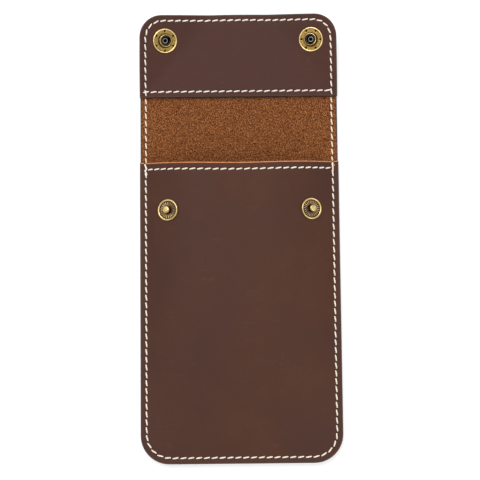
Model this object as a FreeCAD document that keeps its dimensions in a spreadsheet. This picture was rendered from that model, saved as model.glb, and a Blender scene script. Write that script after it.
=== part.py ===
"""Leather watch pouch with a fold-over flap and two snap fasteners, laid open on its back.

Frame: millimetres, +X across the pouch, +Y from the closed bottom seam to the flap's free edge,
+Z up from the surface that the back panel lies on. The origin is under the middle of the whole
open length. The pouch is one long hide (back panel, fold and flap), a moulded front panel sewn
on for the pocket, a lining sewn into the flap, and two snaps of four metal pieces each.
"""

import FreeCAD, Part
import math
import os

import Sketcher
from FreeCAD import Placement, Rotation, Vector

# name, millimetres or degrees or a formula of other names, what it is
SIZE_ROWS = [
    ("case_width", 80.0, "width of the pocket and of the flap"),
    ("hide", 1.8, "thickness of the long outer hide"),
    ("bottom_corner", 11.4, "corner radius at the closed end"),
    ("flap_corner", 9.3, "corner radius at the flap's free edge"),
    ("flap_crown", 1.7, "how far the free edge bows out in the middle"),
    ("pocket_height", 120.6, "mouth edge of the front panel at the side seams"),
    ("mouth_dip", 1.6, "how far the mouth edge draws back in the middle"),
    ("front_hide", 1.8, "thickness of the front panel"),
    ("bulge_height", 9.0, "rise of the front panel over a watch at the mouth"),
    ("crown_width", 24.0, "flat middle of the bulge"),
    ("seam_margin", 3.1, "flat border outside the bulge"),
    ("mouth_gap", 4.1, "mouth edge to the first fold line"),
    ("fold_start", "=pocket_height + mouth_gap", "first fold line, from the closed end"),
    ("fold_pitch", 4.2, "distance between fold lines"),
    ("fold_inset", 0.15, "how far the hide between pocket and flap draws in at each side"),
    ("fold_width", "=case_width - 2 * fold_inset", "width of that single hide"),
    ("fold_turn", 30.82, "turn at each fold line when the flap is snapped shut"),
    ("flap_length", 35.7, "last fold line to the flap's free edge"),
    ("lining_hide", 1.6, "thickness of the flap lining"),
    ("lining_setback", 1.5, "last fold line to the lining's lower edge"),
    ("curl_rise", 7.6, "rise of the flap's sides at its free edge"),
    ("curl_flat", 20.0, "flat middle of the flap at its free edge"),
    ("seam_inset", 2.25, "stitch rows from the edges"),
    ("mouth_inset", 2.4, "stitch row below the mouth edge"),
    ("hem_inset", 2.2, "stitch row above the lining's lower edge"),
    ("row_gap", 1.3, "end of the cross rows from the side rows"),
    ("thread_width", 0.75, "width of a stitch"),
    ("thread_height", 0.4, "height of a stitch above the leather"),
    ("thread_lift", 0.04, "gap under a stitch"),
    ("stitch_length", 2.3, "visible length of a stitch"),
    ("stitch_pitch", 2.96, "distance from stitch to stitch"),
    ("stitch_slant", 12.0, "slant of a stitch to its row"),
    ("overrun", 1.0, "how far a cutting tool passes the hide"),
    ("socket_inset", 10.4, "sockets from the flap's sides"),
    ("socket_spacing", "=case_width - 2 * socket_inset", "distance between the two sockets"),
    ("socket_setback", 11.26, "sockets from the flap's free edge"),
    ("seat_depth", 0.25, "how deep the snap pieces press into the leather"),
    ("seat_clearance", 0.06, "gap round a snap piece in its pressed seat"),
    ("hole_clearance", 0.1, "gap between a tube and the hole punched for it"),
    ("metal_clearance", 0.03, "gap between a tube and the metal it passes"),
    ("socket_radius", 5.0, "outer radius of the socket"),
    ("socket_rim_height", 0.8, "height of the socket's rim"),
    ("socket_rim_width", 0.7, "width of the sloped rim"),
    ("socket_field", 0.62, "height of the socket's flat field"),
    ("collar_radius", 2.5, "outer radius of the collar"),
    ("collar_height", 2.2, "height of the collar above the leather"),
    ("bore_radius", 1.95, "bore that takes the stud's knob"),
    ("socket_floor", 0.4, "thickness of the socket under its bore"),
    ("spring_height", 1.75, "spring plane above the leather"),
    ("spring_wire", 0.3, "spring wire diameter"),
    ("spring_radius", 1.78, "radius of the spring ring"),
    ("spring_sweep", 310.0, "turn of the spring ring, gap left out"),
    ("dimple_circle", 3.75, "radius of the ring of dimples"),
    ("dimple_radius", 0.42, "radius of a dimple"),
    ("dimple_depth", 0.25, "depth of a dimple"),
    ("cap_radius", 5.0, "radius of the domed cap"),
    ("cap_edge", 0.55, "height of the cap's straight edge"),
    ("cap_height", 1.5, "height of the cap's dome"),
    ("tube_radius", 1.0, "outer radius of the cap's tube"),
    ("tube_bore", 0.7, "bore of the cap's tube"),
    ("roll_radius", 1.4, "outer radius of the tube's rolled end"),
    ("roll_height", 0.4, "height of the tube's rolled end"),
    ("stud_radius", 4.4, "outer radius of the stud"),
    ("stud_rim_width", 0.9, "width of the stud's raised rim"),
    ("stud_rim_height", 0.95, "height of the stud's raised rim"),
    ("stud_rim_edge", 0.6, "height of the rim's straight edge"),
    ("dish_outer", 0.55, "dish height inside the rim"),
    ("dish_inner", 0.4, "dish height at the neck"),
    ("neck_radius", 1.2, "radius of the stud's neck"),
    ("knob_radius", 1.5, "radius of the stud's knob"),
    ("knob_height", 2.0, "widest part of the knob above the leather"),
    ("knob_under", 0.5, "height of the knob's sloped underside"),
    ("knob_band", 0.2, "straight band round the knob"),
    ("knob_flat", 0.8, "radius of the knob's flat top"),
    ("stud_height", 2.7, "top of the knob above the leather"),
    ("stud_bore", 0.85, "bore up the stud for its post"),
    ("post_barrel", 0.82, "outer radius of the post's barrel"),
    ("post_bore", 0.5, "open bore of the post"),
    ("post_reach", 1.6, "how far the barrel rises in the stud"),
    ("post_radius", 3.9, "flange radius of the post"),
    ("post_flange", 0.5, "flange thickness of the post"),
    ("flute_width", 0.45, "width of a flute in the stud's dish"),
    ("flute_depth", 0.16, "depth of a flute"),
    ("flute_inset", 0.15, "dish left plain beside the neck and the rim"),
]
FOLD_LINES = 6
STUD_FLUTES = 12
SOCKET_DIMPLES = 6
WIRE_CORNERS = 6
SETTLE_ROUNDS = 4
SIDES = (("left", -1.0), ("right", 1.0))

# share of the pocket height, share of the bulge height
BULGE_STATION_SHARES = (
    (0.0, 0.008),
    (0.03, 0.012),
    (0.1, 0.15),
    (0.42, 0.6),
    (1.0, 1.0),
)
# shares of a shoulder's run where the bulge's inner side has its creases
CREASE_SHARES = (0.27, 0.53, 0.78)
# share of the run from the flat middle to the side, share of the side's rise
CURL_SHARES = ((0.0, 0.0), (0.33, 0.25), (0.67, 0.61), (1.0, 1.0))
# share of the cap's radius, share of the dome's height
DOME_SHARES = ((0.7, 0.65),)

doc = FreeCAD.newDocument("WatchPouch")
sheet = doc.addObject("Spreadsheet::Sheet", "Sizes")
for row, (alias, amount, meaning) in enumerate(SIZE_ROWS, start=1):
    sheet.set(f"A{row}", alias)
    sheet.set(f"B{row}", str(amount))
    sheet.set(f"C{row}", meaning)
    sheet.setAlias(f"B{row}", alias)
doc.recompute()


def size(alias):
    """Value of one named size."""
    return float(sheet.get(alias))


def evaluate(text):
    """Value of an expression written in the sheet's names."""
    return float(sheet.evalExpression(text.replace("Sizes.", "")))


def arc_centre(start, end, radius, clockwise):
    """Centre of the short arc from start to end."""
    chord = end - start
    half = chord.Length / 2
    across = Vector(-chord.y, chord.x, 0).normalize()
    offset = math.sqrt(max(radius * radius - half * half, 0.0))
    return start + chord * 0.5 + across * (-offset if clockwise else offset)


def pin_down(sketch, geometry, end, x_text, y_text):
    """Hold one end of a piece of geometry at bound distances from the sketch's axes."""
    for kind, text, axis in (("DistanceX", x_text, -2), ("DistanceY", y_text, -1)):
        amount = evaluate(text)
        if abs(amount) < 1e-9:
            sketch.addConstraint(Sketcher.Constraint("PointOnObject", geometry, end, axis))
            continue
        held = sketch.addConstraint(Sketcher.Constraint(kind, -1, 1, geometry, end, amount))
        sketch.setExpression(f"Constraints[{held}]", text)


def draw_outline(sketch, steps):
    """Closed outline. A step is (x, y) or (x, y, radius, "cw" or "ccw") for the arc that ends there."""
    places = [Vector(evaluate(s[0]), evaluate(s[1]), 0) for s in steps]
    pieces = []
    for index, step in enumerate(steps):
        start, end = places[index - 1], places[index]
        if len(step) == 2:
            pieces.append((sketch.addGeometry(Part.LineSegment(start, end), False), 1, 2))
            continue
        clockwise = step[3] == "cw"
        radius = evaluate(step[2])
        centre = arc_centre(start, end, radius, clockwise)
        first, last = (end, start) if clockwise else (start, end)
        angles = [math.atan2(p.y - centre.y, p.x - centre.x) for p in (first, last)]
        circle = Part.Circle(centre, Vector(0, 0, 1), radius)
        made = sketch.addGeometry(Part.ArcOfCircle(circle, *angles), False)
        pieces.append((made, 2, 1) if clockwise else (made, 1, 2))
    for index, (geometry, start_end, last_end) in enumerate(pieces):
        before, _, before_end = pieces[index - 1]
        sketch.addConstraint(
            Sketcher.Constraint("Coincident", before, before_end, geometry, start_end)
        )
        pin_down(sketch, geometry, last_end, steps[index][0], steps[index][1])
        if len(steps[index]) > 2:
            held = sketch.addConstraint(
                Sketcher.Constraint("Radius", geometry, evaluate(steps[index][2]))
            )
            sketch.setExpression(f"Constraints[{held}]", steps[index][2])


def new_body(label):
    """Empty body of one sub-part."""
    body = doc.addObject("PartDesign::Body", label)
    body.Label = label
    return body


def new_sketch(body, name, role, offset=None):
    """Sketch on one of a body's own origin planes, moved along that plane's normal by an expression."""
    sketch = body.newObject("Sketcher::SketchObject", f"{body.Name}_{name}")
    plane = [o for o in body.Origin.OriginFeatures if o.Role == role][0]
    sketch.AttachmentSupport = [(plane, "")]
    sketch.MapMode = "FlatFace"
    if offset is not None:
        sketch.setExpression("AttachmentOffset.Base.z", offset)
    return sketch


def pad(body, name, steps, low, thickness):
    """Flat sheet between two heights."""
    sketch = new_sketch(body, f"{name}_plan", "XY_Plane", low)
    draw_outline(sketch, steps)
    feature = body.newObject("PartDesign::Pad", f"{body.Name}_{name}")
    feature.Profile = sketch
    feature.setExpression("Length", thickness)
    body.Tip = feature
    return feature


def cut_plan(body, name, outlines):
    """Cut right through the body, up and down, wherever the outlines lie in plan."""
    sketch = new_sketch(body, f"{name}_plan", "XY_Plane")
    for steps in outlines:
        draw_outline(sketch, steps)
    feature = body.newObject("PartDesign::Pocket", f"{body.Name}_{name}")
    feature.Profile = sketch
    feature.Type = 1
    feature.Midplane = True
    body.Tip = feature
    return feature


def corner_waste(edge_x, edge_y, radius, x_sign, y_sign):
    """Plan of what a rounded corner leaves off: outside the arc, past both edges."""
    x = f"{x_sign} * ({edge_x}"
    y = f"({edge_y}"
    turn = "ccw" if x_sign * y_sign > 0 else "cw"
    return [
        (f"{x} - {radius})", f"{y} + {y_sign} * Sizes.overrun)"),
        (f"{x} + Sizes.overrun)", f"{y} + {y_sign} * Sizes.overrun)"),
        (f"{x} + Sizes.overrun)", f"{y} - {y_sign} * {radius})"),
        (f"{x})", f"{y} - {y_sign} * {radius})"),
        (f"{x} - {radius})", f"{y})", radius, turn),
    ]


def rectangle(half_width, low, high):
    """Plan of a strip across the pouch."""
    return [
        (f"-({half_width})", low),
        (half_width, low),
        (half_width, high),
        (f"-({half_width})", high),
    ]


def loft(body, name, stations):
    """Solid through sections that stand across the pouch. A station is (distance along Y, outline)."""
    sketches = []
    for index, (along, steps) in enumerate(stations):
        sketch = new_sketch(body, f"{name}_section_{index}", "XZ_Plane", f"-({along})")
        draw_outline(sketch, steps)
        sketches.append(sketch)
    feature = body.newObject("PartDesign::AdditiveLoft", f"{body.Name}_{name}")
    feature.Profile = sketches[0]
    feature.Sections = sketches[1:]
    feature.Ruled = True
    body.Tip = feature
    return feature


def drill(body, name, radius, length, seat, start):
    """Round cut along a seat's axis, from start below it. The seat is a placement, +Z out of the leather."""
    cutter = body.newObject("PartDesign::SubtractiveCylinder", f"{body.Name}_{name}")
    cutter.setExpression("Radius", radius)
    cutter.setExpression("Height", length)
    cutter.Placement = seat.multiply(Placement(Vector(0, 0, start), Rotation()))
    body.Tip = cutter
    return cutter


def revolve(body, name, steps):
    """Solid turned about the body's own Z axis from a half section."""
    sketch = new_sketch(body, f"{name}_section", "XZ_Plane")
    draw_outline(sketch, steps)
    feature = body.newObject("PartDesign::Revolution", f"{body.Name}_{name}")
    feature.Profile = sketch
    feature.ReferenceAxis = (sketch, ["V_Axis"])
    feature.Angle = 360
    body.Tip = feature
    return feature


def bulge_section(height_share):
    """Front panel across the pouch: flat borders, two shoulders and a flat crown."""
    half = "Sizes.case_width / 2"
    foot = "(Sizes.case_width / 2 - Sizes.seam_margin)"
    crown = "(Sizes.crown_width / 2)"
    rise = f"(Sizes.bulge_height * {height_share})"
    run = f"({foot} - {crown})"
    radius = f"(({run} * {run} + {rise} * {rise}) / (2 * {rise}))"
    low = "Sizes.hide"
    high = "(Sizes.hide + Sizes.front_hide)"

    def creases(sign):
        return [
            (
                f"{sign} * ({crown} + {run} * {along})",
                f"{low} + {rise} - {radius} + sqrt({radius} ^ 2 - ({run} * {along}) ^ 2)",
            )
            for along in CREASE_SHARES
        ]

    return [
        (f"-({half})", low),
        (f"-{foot}", low),
        *creases(-1)[::-1],
        (f"-{crown}", f"{low} + {rise}"),
        (crown, f"{low} + {rise}"),
        *creases(1),
        (foot, low),
        (half, low),
        (half, high),
        (foot, high),
        (crown, f"{high} + {rise}", radius, "ccw"),
        (f"-{crown}", f"{high} + {rise}"),
        (f"-{foot}", high, radius, "ccw"),
        (f"-({half})", high),
    ]


def curl_rim(sign, level):
    """Points along one side of the flap's free edge, from its flat middle out."""
    half, flat = size("case_width") / 2, size("curl_flat") / 2
    free_edge = fold_lines()[-1] + size("flap_length")
    return [
        Vector(sign * (flat + (half - flat) * along), free_edge, level + size("curl_rise") * up)
        for along, up in CURL_SHARES
    ]


def curled_sheet(name, low, high):
    """Layer that lies flat at the last fold line and curls up in flat facets from its two corners there."""
    corners, rims, outlines = {}, {}, []
    for level in (low, high):
        for sign in (-1, 1):
            corners[level, sign] = Vector(sign * size("case_width") / 2, fold_lines()[-1], level)
            rims[level, sign] = curl_rim(sign, level)
            for inner, outer in zip(rims[level, sign], rims[level, sign][1:]):
                outlines.append([corners[level, sign], inner, outer])
        outlines.append(
            [corners[level, -1], corners[level, 1], rims[level, 1][0], rims[level, -1][0]]
        )
    for sign in (-1, 1):
        outlines.append(
            [corners[low, sign], rims[low, sign][-1], rims[high, sign][-1], corners[high, sign]]
        )
    outlines.append([corners[low, -1], corners[low, 1], corners[high, 1], corners[high, -1]])
    under, over = (rims[level, -1][::-1] + rims[level, 1] for level in (low, high))
    walls = zip(under, under[1:], over[1:], over)
    outlines.extend(list(wall) for wall in walls)
    shell = Part.Shell([Part.Face(Part.makePolygon([*points, points[0]])) for points in outlines])
    shell.sewShape()
    solid = Part.Solid(shell)
    sheet_shape = doc.addObject("Part::Feature", name)
    sheet_shape.Shape = solid if solid.Volume > 0 else solid.reversed()
    return sheet_shape


def between(amount, places, values):
    """Value at an amount on the straight steps through places and values."""
    for index in range(1, len(places)):
        if amount <= places[index] or index == len(places) - 1:
            share = (amount - places[index - 1]) / (places[index] - places[index - 1])
            return values[index - 1] + share * (values[index] - values[index - 1])


def bulge_at(x, y):
    """Height of the front panel's upper side at a point in plan."""
    crown = size("crown_width") / 2
    run = size("case_width") / 2 - size("seam_margin") - crown
    out = min(max(abs(x) - crown, 0.0), run)
    heights = []
    for _, rise_share in BULGE_STATION_SHARES:
        rise = size("bulge_height") * rise_share
        radius = (run**2 + rise**2) / (2 * rise)
        heights.append(rise - radius + math.sqrt(radius**2 - out**2))
    places = [along_share for along_share, _ in BULGE_STATION_SHARES]
    base = size("hide") + size("front_hide")
    return base + between(y / size("pocket_height"), places, heights)


def curl_at(x, y):
    """Height of the lining's upper side at a point in plan."""
    share = (y - fold_lines()[-1]) / size("flap_length")
    half = size("case_width") / 2
    run = (half - size("curl_flat") / 2) * share
    places = [0, *(half - run * (1 - along) for along, _ in CURL_SHARES)]
    heights = [0, *(size("curl_rise") * share * up for _, up in CURL_SHARES)]
    return size("hide") + size("lining_hide") + between(abs(x), places, heights)


def seat_on(shape, x, y, facing_up):
    """Placement on a sheet's upper or lower surface at a point in plan, +Z straight out of the sheet."""
    reach = size("case_width")
    needle = Part.makeLine(Vector(x, y, -reach), Vector(x, y, reach))
    heights = [v.Z for v in shape.common(needle).Vertexes]
    point = Vector(x, y, max(heights) if facing_up else min(heights))
    return Placement(point, upright(surface_normal(shape, point)))


def seat_along(shape, seat, facing_out):
    """Placement where a seat's axis meets the sheet: its outer side, or its far side facing back."""
    reach = size("case_width")
    axis = seat.Rotation.multVec(Vector(0, 0, 1))
    needle = Part.makeLine(seat.Base - axis * reach, seat.Base + axis * reach)
    along = [(v.Point - seat.Base).dot(axis) for v in shape.common(needle).Vertexes]
    if facing_out:
        return Placement(seat.Base + axis * max(along), seat.Rotation)
    return Placement(seat.Base + axis * min(along), upright(axis * -1))


def surface_normal(shape, point):
    """Outward normal of a solid's surface at a point that lies on it."""
    _, _, touches = shape.distToShape(Part.Vertex(point))
    index, (u, v) = touches[0][1], touches[0][2]
    return shape.Faces[index].normalAt(u, v)


def upright(axis):
    """Rotation that takes +Z to an axis with the least turn."""
    return Rotation(Vector(0, 0, 1), axis)


def sunk(seat, depth):
    """Placement moved back along its own axis, into the leather."""
    return seat.multiply(Placement(Vector(0, 0, -depth), Rotation()))


def fold_lines():
    """Distance of each fold line from the closed end."""
    return [size("fold_start") + size("fold_pitch") * index for index in range(FOLD_LINES)]


def snapped_shut(place):
    """Where a placement on the flap comes when every fold line has made its full turn."""
    for along in reversed(fold_lines()):
        centre = Vector(0, along, size("hide"))
        place = Placement(Vector(), Rotation(Vector(1, 0, 0), size("fold_turn")), centre).multiply(place)
    return place


def derive(alias, amount, meaning):
    """Add a size to the sheet that is worked out from the others."""
    row = len(sheet.getUsedCells()) // 3 + 1
    sheet.set(f"A{row}", alias)
    sheet.set(f"B{row}", repr(round(amount, 6)))
    sheet.set(f"C{row}", meaning)
    sheet.setAlias(f"B{row}", alias)
    doc.recompute()


def make_back_panel():
    """Back of the pocket: the closed end of the long hide, flat on the surface."""
    body = new_body("back_panel")
    pad(body, "hide", rectangle("Sizes.case_width / 2", "0", "Sizes.fold_start"), "0", "Sizes.hide")
    waste = [
        corner_waste("Sizes.case_width / 2", "0", "Sizes.bottom_corner", sign, -1) for sign in (1, -1)
    ]
    cut_plan(body, "corners", waste)
    return body


def make_fold_strips():
    """Narrow strips of the same hide between the fold lines."""
    strips = []
    for index in range(FOLD_LINES - 1):
        body = new_body(f"fold_strip_{index + 1}")
        low = f"Sizes.fold_start + {index} * Sizes.fold_pitch"
        high = f"Sizes.fold_start + {index + 1} * Sizes.fold_pitch"
        pad(body, "hide", rectangle("Sizes.fold_width / 2", low, high), "0", "Sizes.hide")
        strips.append(body)
    return strips


def make_front_panel():
    """Front of the pocket: a sheet moulded over a watch, open at the mouth."""
    body = new_body("front_panel")
    stations = [
        (f"Sizes.pocket_height * {along_share}", bulge_section(rise_share))
        for along_share, rise_share in BULGE_STATION_SHARES
    ]
    loft(body, "hide", stations)
    half = "Sizes.case_width / 2"
    mouth = "Sizes.pocket_height"
    sweep = f"({half} * {half} + Sizes.mouth_dip * Sizes.mouth_dip) / (2 * Sizes.mouth_dip)"
    waste = [corner_waste(half, "0", "Sizes.bottom_corner", sign, -1) for sign in (1, -1)]
    waste.append(
        [
            (half, mouth, sweep, "ccw"),
            (half, f"{mouth} + Sizes.overrun"),
            (f"-({half})", f"{mouth} + Sizes.overrun"),
            (f"-({half})", mouth),
        ]
    )
    cut_plan(body, "corners_and_mouth", waste)
    return body


def flap_sheet(label, low, high, lower_edge):
    """Layer of the flap: curled sheet with two rounded corners, cut straight at its lower edge."""
    body = new_body(label)
    body.BaseFeature = curled_sheet(f"{label}_sheet", low, high)
    doc.recompute()
    body.Tip = body.Group[0]
    start = f"(Sizes.fold_start + {FOLD_LINES - 1} * Sizes.fold_pitch)"
    end = f"({start} + Sizes.flap_length)"
    half = "(Sizes.case_width / 2)"
    over = f"({half} + Sizes.overrun)"
    shoulder = f"({half} - Sizes.flap_corner)"
    sweep = f"(({half} ^ 2 + Sizes.flap_crown ^ 2) / (2 * Sizes.flap_crown))"
    high = f"({end} - {sweep} + sqrt({sweep} ^ 2 - {shoulder} ^ 2))"
    low = f"({high} - Sizes.flap_corner)"
    waste = [
        [
            (over, f"{end} + Sizes.overrun"),
            (f"-{over}", f"{end} + Sizes.overrun"),
            (f"-{over}", low),
            (f"-{half}", low),
            (f"-{shoulder}", high, "Sizes.flap_corner", "cw"),
            (shoulder, high, sweep, "cw"),
            (half, low, "Sizes.flap_corner", "cw"),
            (over, low),
        ]
    ]
    if lower_edge:
        waste.append(rectangle(over, f"{start} - Sizes.overrun", f"{start} + {lower_edge}"))
    cut_plan(body, "corners", waste)
    return body


def make_socket(label):
    """Female half of the snap: sloped rim, flat field with dimples, collar with a bore."""
    body = new_body(label)
    hole = "Sizes.tube_radius + Sizes.metal_clearance"
    rim = "Sizes.socket_radius"
    steps = [
        (hole, "0"),
        (rim, "0"),
        (rim, "Sizes.socket_rim_height"),
        (f"{rim} - Sizes.socket_rim_width", "Sizes.socket_field"),
        ("Sizes.collar_radius", "Sizes.socket_field"),
        ("Sizes.collar_radius", "Sizes.collar_height"),
        ("Sizes.bore_radius", "Sizes.collar_height"),
        ("Sizes.bore_radius", "Sizes.socket_floor"),
        (hole, "Sizes.socket_floor"),
    ]
    revolve(body, "shell", steps)
    sketch = new_sketch(body, "dimple_plan", "XY_Plane", "Sizes.socket_field")
    corners = [math.tau * index / WIRE_CORNERS for index in range(WIRE_CORNERS)]
    outline = [
        (
            f"Sizes.dimple_radius * {math.cos(angle):.6f}",
            f"Sizes.dimple_circle + Sizes.dimple_radius * {math.sin(angle):.6f}",
        )
        for angle in corners
    ]
    draw_outline(sketch, outline)
    dimple = body.newObject("PartDesign::Pocket", f"{label}_dimple")
    dimple.Profile = sketch
    dimple.setExpression("Length", "Sizes.dimple_depth")
    ring_of(body, dimple, SOCKET_DIMPLES)
    return body


def ring_of(body, feature, count):
    """Repeat a feature round the body's own Z axis."""
    axis = [o for o in body.Origin.OriginFeatures if o.Role == "Z_Axis"][0]
    pattern = body.newObject("PartDesign::PolarPattern", f"{feature.Name}_ring")
    pattern.Originals = [feature]
    pattern.Axis = (axis, [""])
    pattern.Angle = 360
    pattern.Occurrences = count
    body.Tip = pattern
    return pattern


def make_cap(label):
    """Domed cap on the flap's outside, with the tube that clamps the socket from behind."""
    body = new_body(label)
    far = "(Sizes.flap_stack + Sizes.socket_floor + Sizes.roll_height)"
    roll_top = f"-({far} - Sizes.roll_height)"
    dome = "(Sizes.cap_height - Sizes.cap_edge)"
    crown = [
        (f"Sizes.cap_radius * {out}", f"Sizes.cap_edge + {dome} * {up}") for out, up in DOME_SHARES
    ]
    steps = [
        ("0", "0"),
        ("Sizes.tube_bore", "0"),
        ("Sizes.tube_bore", f"-{far}"),
        ("(Sizes.tube_bore + Sizes.roll_radius) / 2", f"-{far}"),
        ("Sizes.roll_radius", roll_top),
        ("Sizes.tube_radius", roll_top),
        ("Sizes.tube_radius", "0"),
        ("Sizes.cap_radius", "0"),
        ("Sizes.cap_radius", "Sizes.cap_edge"),
        *crown,
        ("0", "Sizes.cap_height"),
    ]
    revolve(body, "shell", steps)
    return body


def make_stud(label):
    """Male half of the snap: raised rim, fluted dish, neck and knob on a hollow stem."""
    body = new_body(label)
    rim = "Sizes.stud_radius"
    inner = "(Sizes.stud_radius - Sizes.stud_rim_width)"
    ceiling = "Sizes.post_reach + Sizes.metal_clearance"
    steps = [
        ("Sizes.stud_bore", "0"),
        (rim, "0"),
        (rim, "Sizes.stud_rim_edge"),
        (f"{rim} - Sizes.stud_rim_width / 2", "Sizes.stud_rim_height"),
        (inner, "Sizes.dish_outer"),
        ("Sizes.neck_radius", "Sizes.dish_inner"),
        ("Sizes.neck_radius", "Sizes.knob_height - Sizes.knob_under"),
        ("Sizes.knob_radius", "Sizes.knob_height"),
        ("Sizes.knob_radius", "Sizes.knob_height + Sizes.knob_band"),
        ("Sizes.knob_flat", "Sizes.stud_height"),
        ("0", "Sizes.stud_height"),
        ("0", ceiling),
        ("Sizes.stud_bore", ceiling),
    ]
    revolve(body, "shell", steps)
    sketch = new_sketch(body, "flute_section", "YZ_Plane", "Sizes.neck_radius + Sizes.flute_inset")
    half = "Sizes.flute_width / 2"
    top = "Sizes.stud_rim_height"
    slope_foot = "(Sizes.dish_inner - Sizes.flute_depth)"
    draw_outline(sketch, [(f"-({half})", top), ("0", slope_foot), (half, top)])
    flute = body.newObject("PartDesign::Pocket", f"{label}_flute")
    flute.Profile = sketch
    flute.Reversed = True
    run = f"({inner} - Sizes.neck_radius - 2 * Sizes.flute_inset)"
    flute.setExpression("Length", run)
    ring_of(body, flute, STUD_FLUTES)
    return body


def make_stud_post(label):
    """Eyelet inside the pocket: a flange behind the leather and a barrel up into the stud."""
    body = new_body(label)
    top = "Sizes.front_stack + Sizes.post_reach"
    steps = [
        ("Sizes.post_bore", "-Sizes.post_flange"),
        ("Sizes.post_radius", "-Sizes.post_flange"),
        ("Sizes.post_radius", "0"),
        ("Sizes.post_barrel", "0"),
        ("Sizes.post_barrel", top),
        ("Sizes.post_bore", top),
    ]
    revolve(body, "shell", steps)
    return body


def make_spring(label):
    """Grip spring in the socket's bore: one wire bent to a ring with a gap."""
    body = new_body(label)
    half = "Sizes.spring_wire / 2"
    corners = [math.tau * index / WIRE_CORNERS for index in range(WIRE_CORNERS)]
    section = [
        (
            f"Sizes.spring_radius + {half} * {math.cos(angle):.6f}",
            f"Sizes.spring_height + {half} * {math.sin(angle):.6f}",
        )
        for angle in corners
    ]
    ring = revolve(body, "wire", section)
    ring.setExpression("Angle", "Sizes.spring_sweep")
    return body


def edge_run(x, first, last, corner, bow):
    """Plan wire along one side, round two corners and back. Between these it bows out past last."""
    turn = math.copysign(corner, last - first)
    inner = x - math.copysign(corner, x)
    share = math.sqrt(0.5)
    foot, knee = Vector(x, first), Vector(x, last - turn)
    bend = Vector(inner + (x - inner) * share, last - turn + turn * share)
    shoulder, middle = Vector(inner, last), Vector(0, last + math.copysign(bow, turn))
    far_foot, far_knee, far_bend, far_shoulder = (Vector(-p.x, p.y) for p in (foot, knee, bend, shoulder))
    across = Part.Arc(shoulder, middle, far_shoulder) if bow else Part.LineSegment(shoulder, far_shoulder)
    pieces = [
        Part.LineSegment(foot, knee),
        Part.Arc(knee, bend, shoulder),
        across,
        Part.Arc(far_shoulder, far_bend, far_knee),
        Part.LineSegment(far_knee, far_foot),
    ]
    return Part.Wire([piece.toShape() for piece in pieces])


def stitch():
    """One visible stitch along X: a low ridge that tapers into its two holes."""
    length, width, height = size("stitch_length") / 2, size("thread_width") / 2, size("thread_height")
    foot = [Vector(x * length, y * width, 0) for x, y in ((-1, -1), (1, -1), (1, 1), (-1, 1))]
    ridge = [Vector(-length + width, 0, height), Vector(length - width, 0, height)]
    sides = [
        foot[::-1],
        [foot[0], foot[1], ridge[1], ridge[0]],
        [foot[1], foot[2], ridge[1]],
        [foot[2], foot[3], ridge[0], ridge[1]],
        [foot[3], foot[0], ridge[0]],
    ]
    faces = [Part.Face(Part.makePolygon([*side, side[0]])) for side in sides]
    return Part.Solid(Part.Shell(faces))


def stitch_row(run, height):
    """Stitches laid along a plan wire on a surface given as height over plan."""

    def on_surface(point):
        return Vector(point.x, point.y, height(point.x, point.y))

    pitch = size("stitch_pitch")
    plan = run.discretize(Number=int(run.Length / pitch) * SETTLE_ROUNDS)
    track = Part.makePolygon([on_surface(point) for point in plan])
    marks = track.discretize(Number=int(round(track.Length / pitch)) + 1)
    pattern, made = stitch(), []
    for start, end in zip(marks, marks[1:]):
        middle = on_surface((start + end) * 0.5)
        along = Vector(end.x - start.x, end.y - start.y, 0).normalize()
        along = Rotation(Vector(0, 0, 1), size("stitch_slant")).multVec(along)
        side = Vector(-along.y, along.x, 0)
        reach, spread = along * (size("stitch_length") / 2), side * (size("thread_width") / 2)
        tail, head = on_surface(middle - reach), on_surface(middle + reach)
        right, left = on_surface(middle - spread), on_surface(middle + spread)
        normal = (head - tail).cross(left - right).normalize()
        chord, width = (head + tail) * 0.5, (left + right) * 0.5
        lift = max(0.0, *((point - chord).dot(normal) for point in (middle, width)))
        piece = pattern.copy()
        lie = Rotation(head - tail, Vector(), normal, "ZXY")
        piece.Placement = Placement(chord + normal * (lift + size("thread_lift")), lie)
        made.append(piece)
    return made


def make_thread(label, run, height):
    """All visible stitches of one seam."""
    thread = doc.addObject("Part::Feature", label)
    thread.Label = label
    thread.Shape = Part.makeCompound(stitch_row(run, height))
    return thread


def make_threads():
    """Stitches of the pocket seam, its mouth, the flap seam and the lining's hem."""
    inset, clear = size("seam_inset"), size("thread_width")
    half = size("case_width") / 2 - inset
    cross = half - size("row_gap")
    flap_low = fold_lines()[-1] + size("lining_setback")
    free_edge = fold_lines()[-1] + size("flap_length")
    mouth, dip = size("pocket_height"), size("mouth_dip")
    sweep = ((size("case_width") / 2) ** 2 + dip**2) / (2 * dip)

    def mouth_row(x):
        rounding = math.sqrt((sweep + size("mouth_inset")) ** 2 - x * x)
        return Vector(x, mouth - dip + sweep - rounding, 0)

    crown, shoulder = size("flap_crown"), size("case_width") / 2 - size("flap_corner")
    free_sweep = ((size("case_width") / 2) ** 2 + crown**2) / (2 * crown)
    bow = free_sweep - math.sqrt(free_sweep**2 - shoulder**2)
    hem = flap_low + size("hem_inset")
    flap_last = free_edge - bow - inset
    pocket_run = edge_run(-half, mouth - clear, inset, size("bottom_corner") - inset, 0)
    mouth_run = Part.Arc(mouth_row(-cross), mouth_row(0), mouth_row(cross)).toShape()
    flap_run = edge_run(half, flap_low + clear, flap_last, size("flap_corner") - inset, bow)
    hem_run = Part.makeLine(Vector(-cross, hem, 0), Vector(cross, hem, 0))
    return [
        make_thread("pocket_seam_thread", pocket_run, bulge_at),
        make_thread("pocket_mouth_thread", mouth_run, bulge_at),
        make_thread("flap_seam_thread", flap_run, curl_at),
        make_thread("flap_hem_thread", hem_run, curl_at),
    ]


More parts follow.
